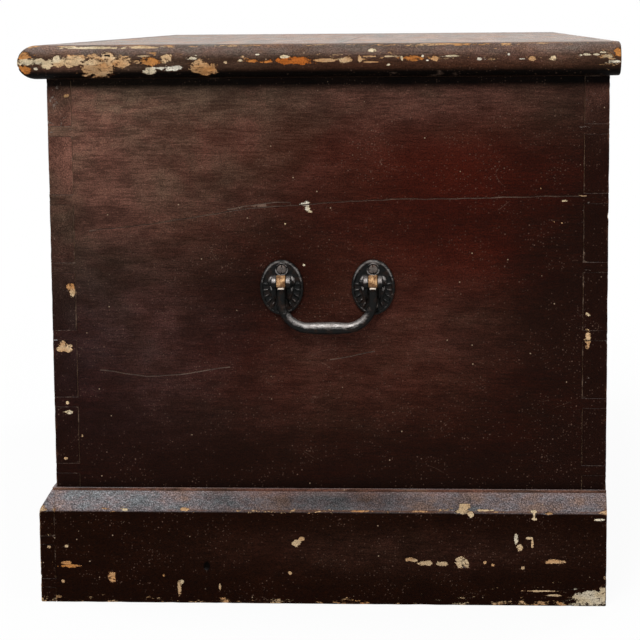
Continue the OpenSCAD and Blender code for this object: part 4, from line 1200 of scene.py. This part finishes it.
PIN_X = END_X + 9.5 * MM
PIN_Z = 294 * MM
PIN_HOLE_R = 2.3 * MM
ROSE_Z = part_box("right_handle_front_rose")[0].z + 25 * MM
ROSE_OFF = 41 * MM
ROSE_W, ROSE_H, ROSE_T = 39 * MM, 50 * MM, 3.2 * MM
FIELD_X = END_X + ROSE_T - 0.8 * MM
EAR_OFF = 6.3 * MM
SCREW_OFF = 16 * MM
RING_R = 5.1 * MM
BAR_Z = PIN_Z - 41 * MM
BAR_R, SHOULDER_R, LEG_R = 5.5 * MM, 4.84 * MM, 4 * MM
BEND_R = 25 * MM
BEND_STEPS = 12
STRAIGHT = 16
QUARTER = math.pi / 2


def rod(name, radius, length, centre, axis, vertices=32):
    """A cylinder along the chest's length (axis 0) or depth (axis 1)."""
    turn = (QUARTER, 0, 0) if axis else (0, QUARTER, 0)
    return make(name, bpy.ops.mesh.primitive_cylinder_add, vertices=vertices, radius=radius, depth=length,
                location=centre, rotation=turn)


def lump(name, centre, size, turn=0.0):
    """A rounded swelling of a casting, half sizes in millimetres, turned in the plane of the rose."""
    return make(name, bpy.ops.mesh.primitive_uv_sphere_add, segments=20, ring_count=12, radius=1,
                location=centre, scale=[half * MM for half in size], rotation=(turn, 0, 0))


def weld(name, parts):
    take(parts[0])
    for part in parts[1:]:
        part.select_set(True)
    bpy.ops.object.join()
    piece = bpy.context.object
    piece.name = name
    piece.data.name = name
    return piece


def cast(name, parts, voxel, holes):
    """Runs the parts of a casting into one skin, with holes, soft edges and a sandy surface."""
    piece = weld(name, parts)
    finish_modifier(piece, "REMESH", mode="VOXEL", voxel_size=voxel)
    for hole in holes:
        cut_away(piece, hole)
    finish_modifier(piece, "REMESH", mode="VOXEL", voxel_size=voxel)
    finish_modifier(piece, "SMOOTH", factor=0.5, iterations=3)
    sand = bpy.data.textures.new("casting_sand", "CLOUDS")
    sand.noise_scale = 2.2 * MM
    finish_modifier(
        piece, "DISPLACE", texture=sand, strength=0.28 * MM, mid_level=0.5, texture_coords="LOCAL")
    take(piece)
    bpy.ops.object.shade_smooth()
    return piece


def rose():
    """Oval back plate with a raised bead, flutes, a ring round its upper screw and two ears for the pin."""
    y, z = MID_Y - ROSE_OFF, ROSE_Z
    plate = make("plate", bpy.ops.mesh.primitive_cylinder_add, vertices=72, radius=1, depth=ROSE_T,
                 location=(END_X + ROSE_T / 2, y, z), rotation=(0, QUARTER, 0),
                 scale=(ROSE_H / 2, ROSE_W / 2, 1))
    edit(plate)
    pick(plate, "FACE", lambda c, n: n.x > 0.9)
    for inset, lift in ((2.3 * MM, 0.2 * MM), (0.5 * MM, -1.2 * MM)):
        bpy.ops.mesh.inset(thickness=inset)
        slide(0, lift)
    leave()
    rim = END_X + ROSE_T - 0.02 * MM
    round_edges(plate, [(0.9 * MM, lambda a, b: a.x > rim and b.x > rim and close(a.x, b.x))], 3)
    ring = make("screw_ring", bpy.ops.mesh.primitive_torus_add, major_segments=40, minor_segments=12,
                major_radius=RING_R, minor_radius=0.65 * MM,
                location=(FIELD_X + 0.4 * MM, y, z + SCREW_OFF), rotation=(0, QUARTER, 0))
    parts = [plate, ring]
    for side in (-1, 1):
        ear_y = y + side * EAR_OFF
        parts.append(rod("ear", 5.4 * MM, 4 * MM, (PIN_X, ear_y, PIN_Z), 1))
        web = cube("ear_web", (END_X + 1.6 * MM, ear_y - 2 * MM, PIN_Z - 15.4 * MM),
                   (PIN_X + 4.6 * MM, ear_y + 2 * MM, PIN_Z + 5.4 * MM))
        edit(web)
        for below, back in ((False, 4.6 * MM), (True, 11 * MM)):
            pick(web, "VERT", lambda c: c.x > PIN_X and (c.z < PIN_Z) == below)
            slide(0, -back)
        leave()
        parts.append(web)
        scroll_place = (FIELD_X + 0.6 * MM, y + side * 9.6 * MM, PIN_Z + 1 * MM)
        leaf_place = (FIELD_X + 0.2 * MM, y + side * 8.6 * MM, PIN_Z - 10 * MM)
        parts.append(lump("ear_scroll", scroll_place, (2.4, 2.6, 4.6), side * 0.25))
        parts.append(lump("ear_leaf", leaf_place, (1.8, 1.5, 8), side * -0.28))
    flutes_out, flute_step = 0.74, 16.5
    for step in (*range(-6, 0), *range(1, 7)):
        angle = math.radians(-90 + step * flute_step)
        centre = (FIELD_X + 0.15 * MM, y + math.cos(angle) * ROSE_W / 2 * flutes_out,
                  z + math.sin(angle) * ROSE_H / 2 * flutes_out)
        lean = math.atan2(math.sin(angle) * ROSE_H, math.cos(angle) * ROSE_W)
        parts.append(lump("flute", centre, (0.95, 2.7, 0.85), lean))
    for side in (-1, 1):
        tongue_place = (FIELD_X + 0.2 * MM, y + side * 2.2 * MM, z - 14 * MM)
        parts.append(lump("tongue", tongue_place, (1.1, 0.9, 6.5), side * -0.12))
    return cast("rose_casting", parts, 0.4 * MM, [
        rod("pin_hole", PIN_HOLE_R, 30 * MM, (PIN_X, y, PIN_Z), 1),
        rod("screw_hole", 4.45 * MM, 10 * MM, (END_X + 6.2 * MM, y, z + SCREW_OFF), 0)])


def bail():
    """The drop handle: a bar that swells in the middle, with bent legs that end in eyes round the pins. It is
    made astride the chest's long axis and moved to the middle of the end when it is whole."""
    path = [(6, 0, BAR_R), (9, 0, BAR_R * 0.975), (12.5, 0, BAR_R * 0.93), (STRAIGHT, 0, SHOULDER_R)]
    for i in range(1, BEND_STEPS + 1):
        degrees = 90 * i / BEND_STEPS
        across = STRAIGHT + BEND_R / MM * math.sin(math.radians(degrees))
        path.append((across, degrees, SHOULDER_R + (LEG_R - SHOULDER_R) * i / BEND_STEPS))
    centre = Vector((PIN_X, 0, BAR_Z))
    half = make("half_bail", bpy.ops.mesh.primitive_circle_add, vertices=32, radius=BAR_R, location=centre,
                rotation=(QUARTER, 0, 0))
    edit(half, "VERT")
    bpy.ops.mesh.select_all(action="SELECT")
    turned, thick = 0.0, BAR_R
    for across, degrees, radius in path:
        rise = BEND_R * (1 - math.cos(math.radians(degrees)))
        target = Vector((PIN_X, across * MM, BAR_Z + rise))
        extrude(target - centre)
        bpy.ops.transform.resize(value=(radius / thick,) * 3, center_override=target)
        if degrees != turned:
            bpy.ops.transform.rotate(
                value=-math.radians(degrees - turned), orient_axis="X", orient_type="GLOBAL",
                center_override=target)
        centre, turned, thick = target, degrees, radius
    extrude((0, 0, PIN_Z - centre.z))
    bpy.ops.mesh.edge_face_add()
    leave()
    finish_modifier(half, "MIRROR", use_axis=(False, True, False), merge_threshold=2 * WELD)
    parts = [half]
    for end in (-1, 1):
        y = end * ROSE_OFF
        parts += [
            rod("eye", 5 * MM, 8 * MM, (PIN_X, y, PIN_Z), 1),
            cube("heel", (PIN_X - 1.6 * MM, y - 4 * MM, PIN_Z),
                 (PIN_X + 3.4 * MM, y + 4 * MM, PIN_Z + 6.8 * MM)),
            cube("step", (PIN_X, y - 2.9 * MM, PIN_Z - 7.2 * MM),
                 (PIN_X + 5.1 * MM, y + 2.9 * MM, PIN_Z - 4.7 * MM)),
            lump("neck", (PIN_X, y, PIN_Z - 6 * MM), (4.2, 4.0, 7))]
    piece = cast("bail_forging", parts, 0.45 * MM, [
        rod("pin_hole", PIN_HOLE_R, 120 * MM, (PIN_X, 0, PIN_Z), 1)])
    piece.data.transform(Matrix.Translation((0, MID_Y, 0)))
    return piece


def round_screw(slot_turn):
    """Domed screw with a slot, made round the origin with its head outwards."""
    head = rod("screw_head", 4.35 * MM, 1.7 * MM, (0, 0, 0), 0, 40)
    face = 0.8 * MM
    round_edges(head, [(1.2 * MM, lambda a, b: a.x > face and b.x > face)], 5)
    slot = cube("slot", (0.1 * MM, -6 * MM, -0.5 * MM), (4 * MM, 6 * MM, 0.5 * MM))
    slot.data.transform(Matrix.Rotation(slot_turn, 4, "X"))
    cut_away(head, slot)
    return weld("screw", [head, rod("screw_shank", 2 * MM, 15 * MM, (-7 * MM, 0, 0), 0, 20)])


def copy_of(piece, name, move):
    other = add_object(name, piece.data.copy())
    other.data.transform(move)
    return other


def between(value, low, high):
    """How far a value has come from low to high, from 0 to 1."""
    return min(1.0, max(0.0, (value - low) / (high - low)))


def bail_wear_and_highlight(x, z, near, tilt, face):
    """How far a point of the bail is rubbed and lit by a painted highlight on its upper, outer side, how
    yellow it is and how far it carries a painted glint.
    """
    held = between(z, BAR_Z + 27 * MM, BAR_Z + 8 * MM)
    brassy = between(z, PIN_Z - 4.6 * MM, PIN_Z - 2.4 * MM) * (near < 4.2 * MM)
    glint = between(tilt, 0.1, 0.5) * (PIN_Z - 7 * MM < z < PIN_Z - 4.2 * MM) * (x > 12.6 * MM)
    return held * max(0.0, tilt * 1.1 + face * 0.4), brassy, glint


def rose_wear_and_highlight(x, z, near, tilt, face):
    """How far a point of a rose is rubbed and lit by painted highlights: the top of its rim, its ears and
    their scrolls where they face up, and the lower half of the ring round its screw.
    """
    oval = math.hypot(near / (ROSE_W / 2), (z - ROSE_Z) / (ROSE_H / 2))
    rim = max(0.0, 1 - abs(oval - 0.92) / 0.11) * between(z, ROSE_Z - 6 * MM, ROSE_Z + 12 * MM)
    ear = 0.9 * between(x, 4 * MM, 9 * MM) * max(0.0, tilt * 0.8 + 0.35)
    scroll = 0.95 * between(x, 2.4 * MM, 3.8 * MM) * between(tilt, -0.25, 0.45)
    screw_z = z - ROSE_Z - SCREW_OFF
    ring = between(abs(math.hypot(near, screw_z) - RING_R), 1.2 * MM, 0.6 * MM)
    ring *= between(screw_z, 5 * MM, -2 * MM) * 0.85
    return max(0.75 * rim, ear, scroll, ring), 0.0, 0.0


def metal_wear_and_highlight(piece, side, wear):
    """Writes where a handle's casting is rubbed bright and lit by painted highlights and glints, and where
    its yellow metal shows. Each point is judged by its way out from the end, its height, its distance from
    the nearest rose's middle and how it faces."""
    rows = []
    for vert in piece.data.vertices:
        near = abs(abs(vert.co.y - MID_Y) - ROSE_OFF)
        rows.append(wear(abs(vert.co.x) - END_X, vert.co.z, near, vert.normal.z, vert.normal.x * side))
    for name, values in zip(("rubbed_and_highlight", "brassy", "glint"), zip(*rows)):
        write_values(piece, name, values)


def handles():
    to_middle = Matrix.Translation((0, -MID_Y, 0))
    turned = to_middle.inverted() @ Matrix.Rotation(math.pi, 4, "Z") @ to_middle
    first_rose, first_bail = rose(), bail()
    screws = [round_screw(angle) for angle in (1.50, 0.4, 1.68, 2.3)]
    for side, name in ((1, "right"), (-1, "left")):
        turn = Matrix.Identity(4) if side > 0 else turned
        for end, word in ((-1, "front"), (1, "back")):
            move = Matrix.Translation((0, 2 * ROSE_OFF if end * side > 0 else 0, 0))
            piece = copy_of(first_rose, f"{name}_{word}_rose_casting", turn @ move)
            metal_wear_and_highlight(piece, side, rose_wear_and_highlight)
            dress(piece, f"{name}_handle_{word}_rose", "case", "handle_iron")
        piece = copy_of(first_bail, f"{name}_bail_forging", turn)
        metal_wear_and_highlight(piece, side, bail_wear_and_highlight)
        dress(piece, f"{name}_handle_bail", f"{name}_bail", "handle_iron")
        heads = []
        for screw, end, rise in zip(screws, (-1, -1, 1, 1), (SCREW_OFF, -SCREW_OFF) * 2):
            place = Matrix.Translation((FIELD_X + 0.75 * MM, MID_Y + end * ROSE_OFF, ROSE_Z + rise))
            heads.append(copy_of(screw, "screw", turn @ place))
        piece = weld(f"{name}_handle_screws_turned", heads)
        smooth(piece)
        slot_floor = FIELD_X + 1.0 * MM
        write_values(piece, "rubbed_and_highlight", [0.75 * (abs(vert.co.x) > slot_floor) for vert in piece.data.vertices])
        dress(piece, f"{name}_handle_screws", "case", "screw_iron")
    for spare in [first_rose, first_bail, *screws]:
        bpy.data.objects.remove(spare)


handles()


# CAD nodes that keep their shape

for node, piece in frame["nodes"].items():
    if piece.hide_render:
        continue
    slot_name = next(s["material_slot"] for s in frame["record"]["subparts"] if s["node"] == node)
    if slot_name == "bare_pine":
        crosswise = "batten" in node or "bottom" in node or node in ("right_cleat", "left_cleat")
        finish = "pine_across" if crosswise else "pine_along"
    else:
        finish = slot_name
    piece.data.materials.clear()
    piece.data.materials.append(FINISHES[finish])
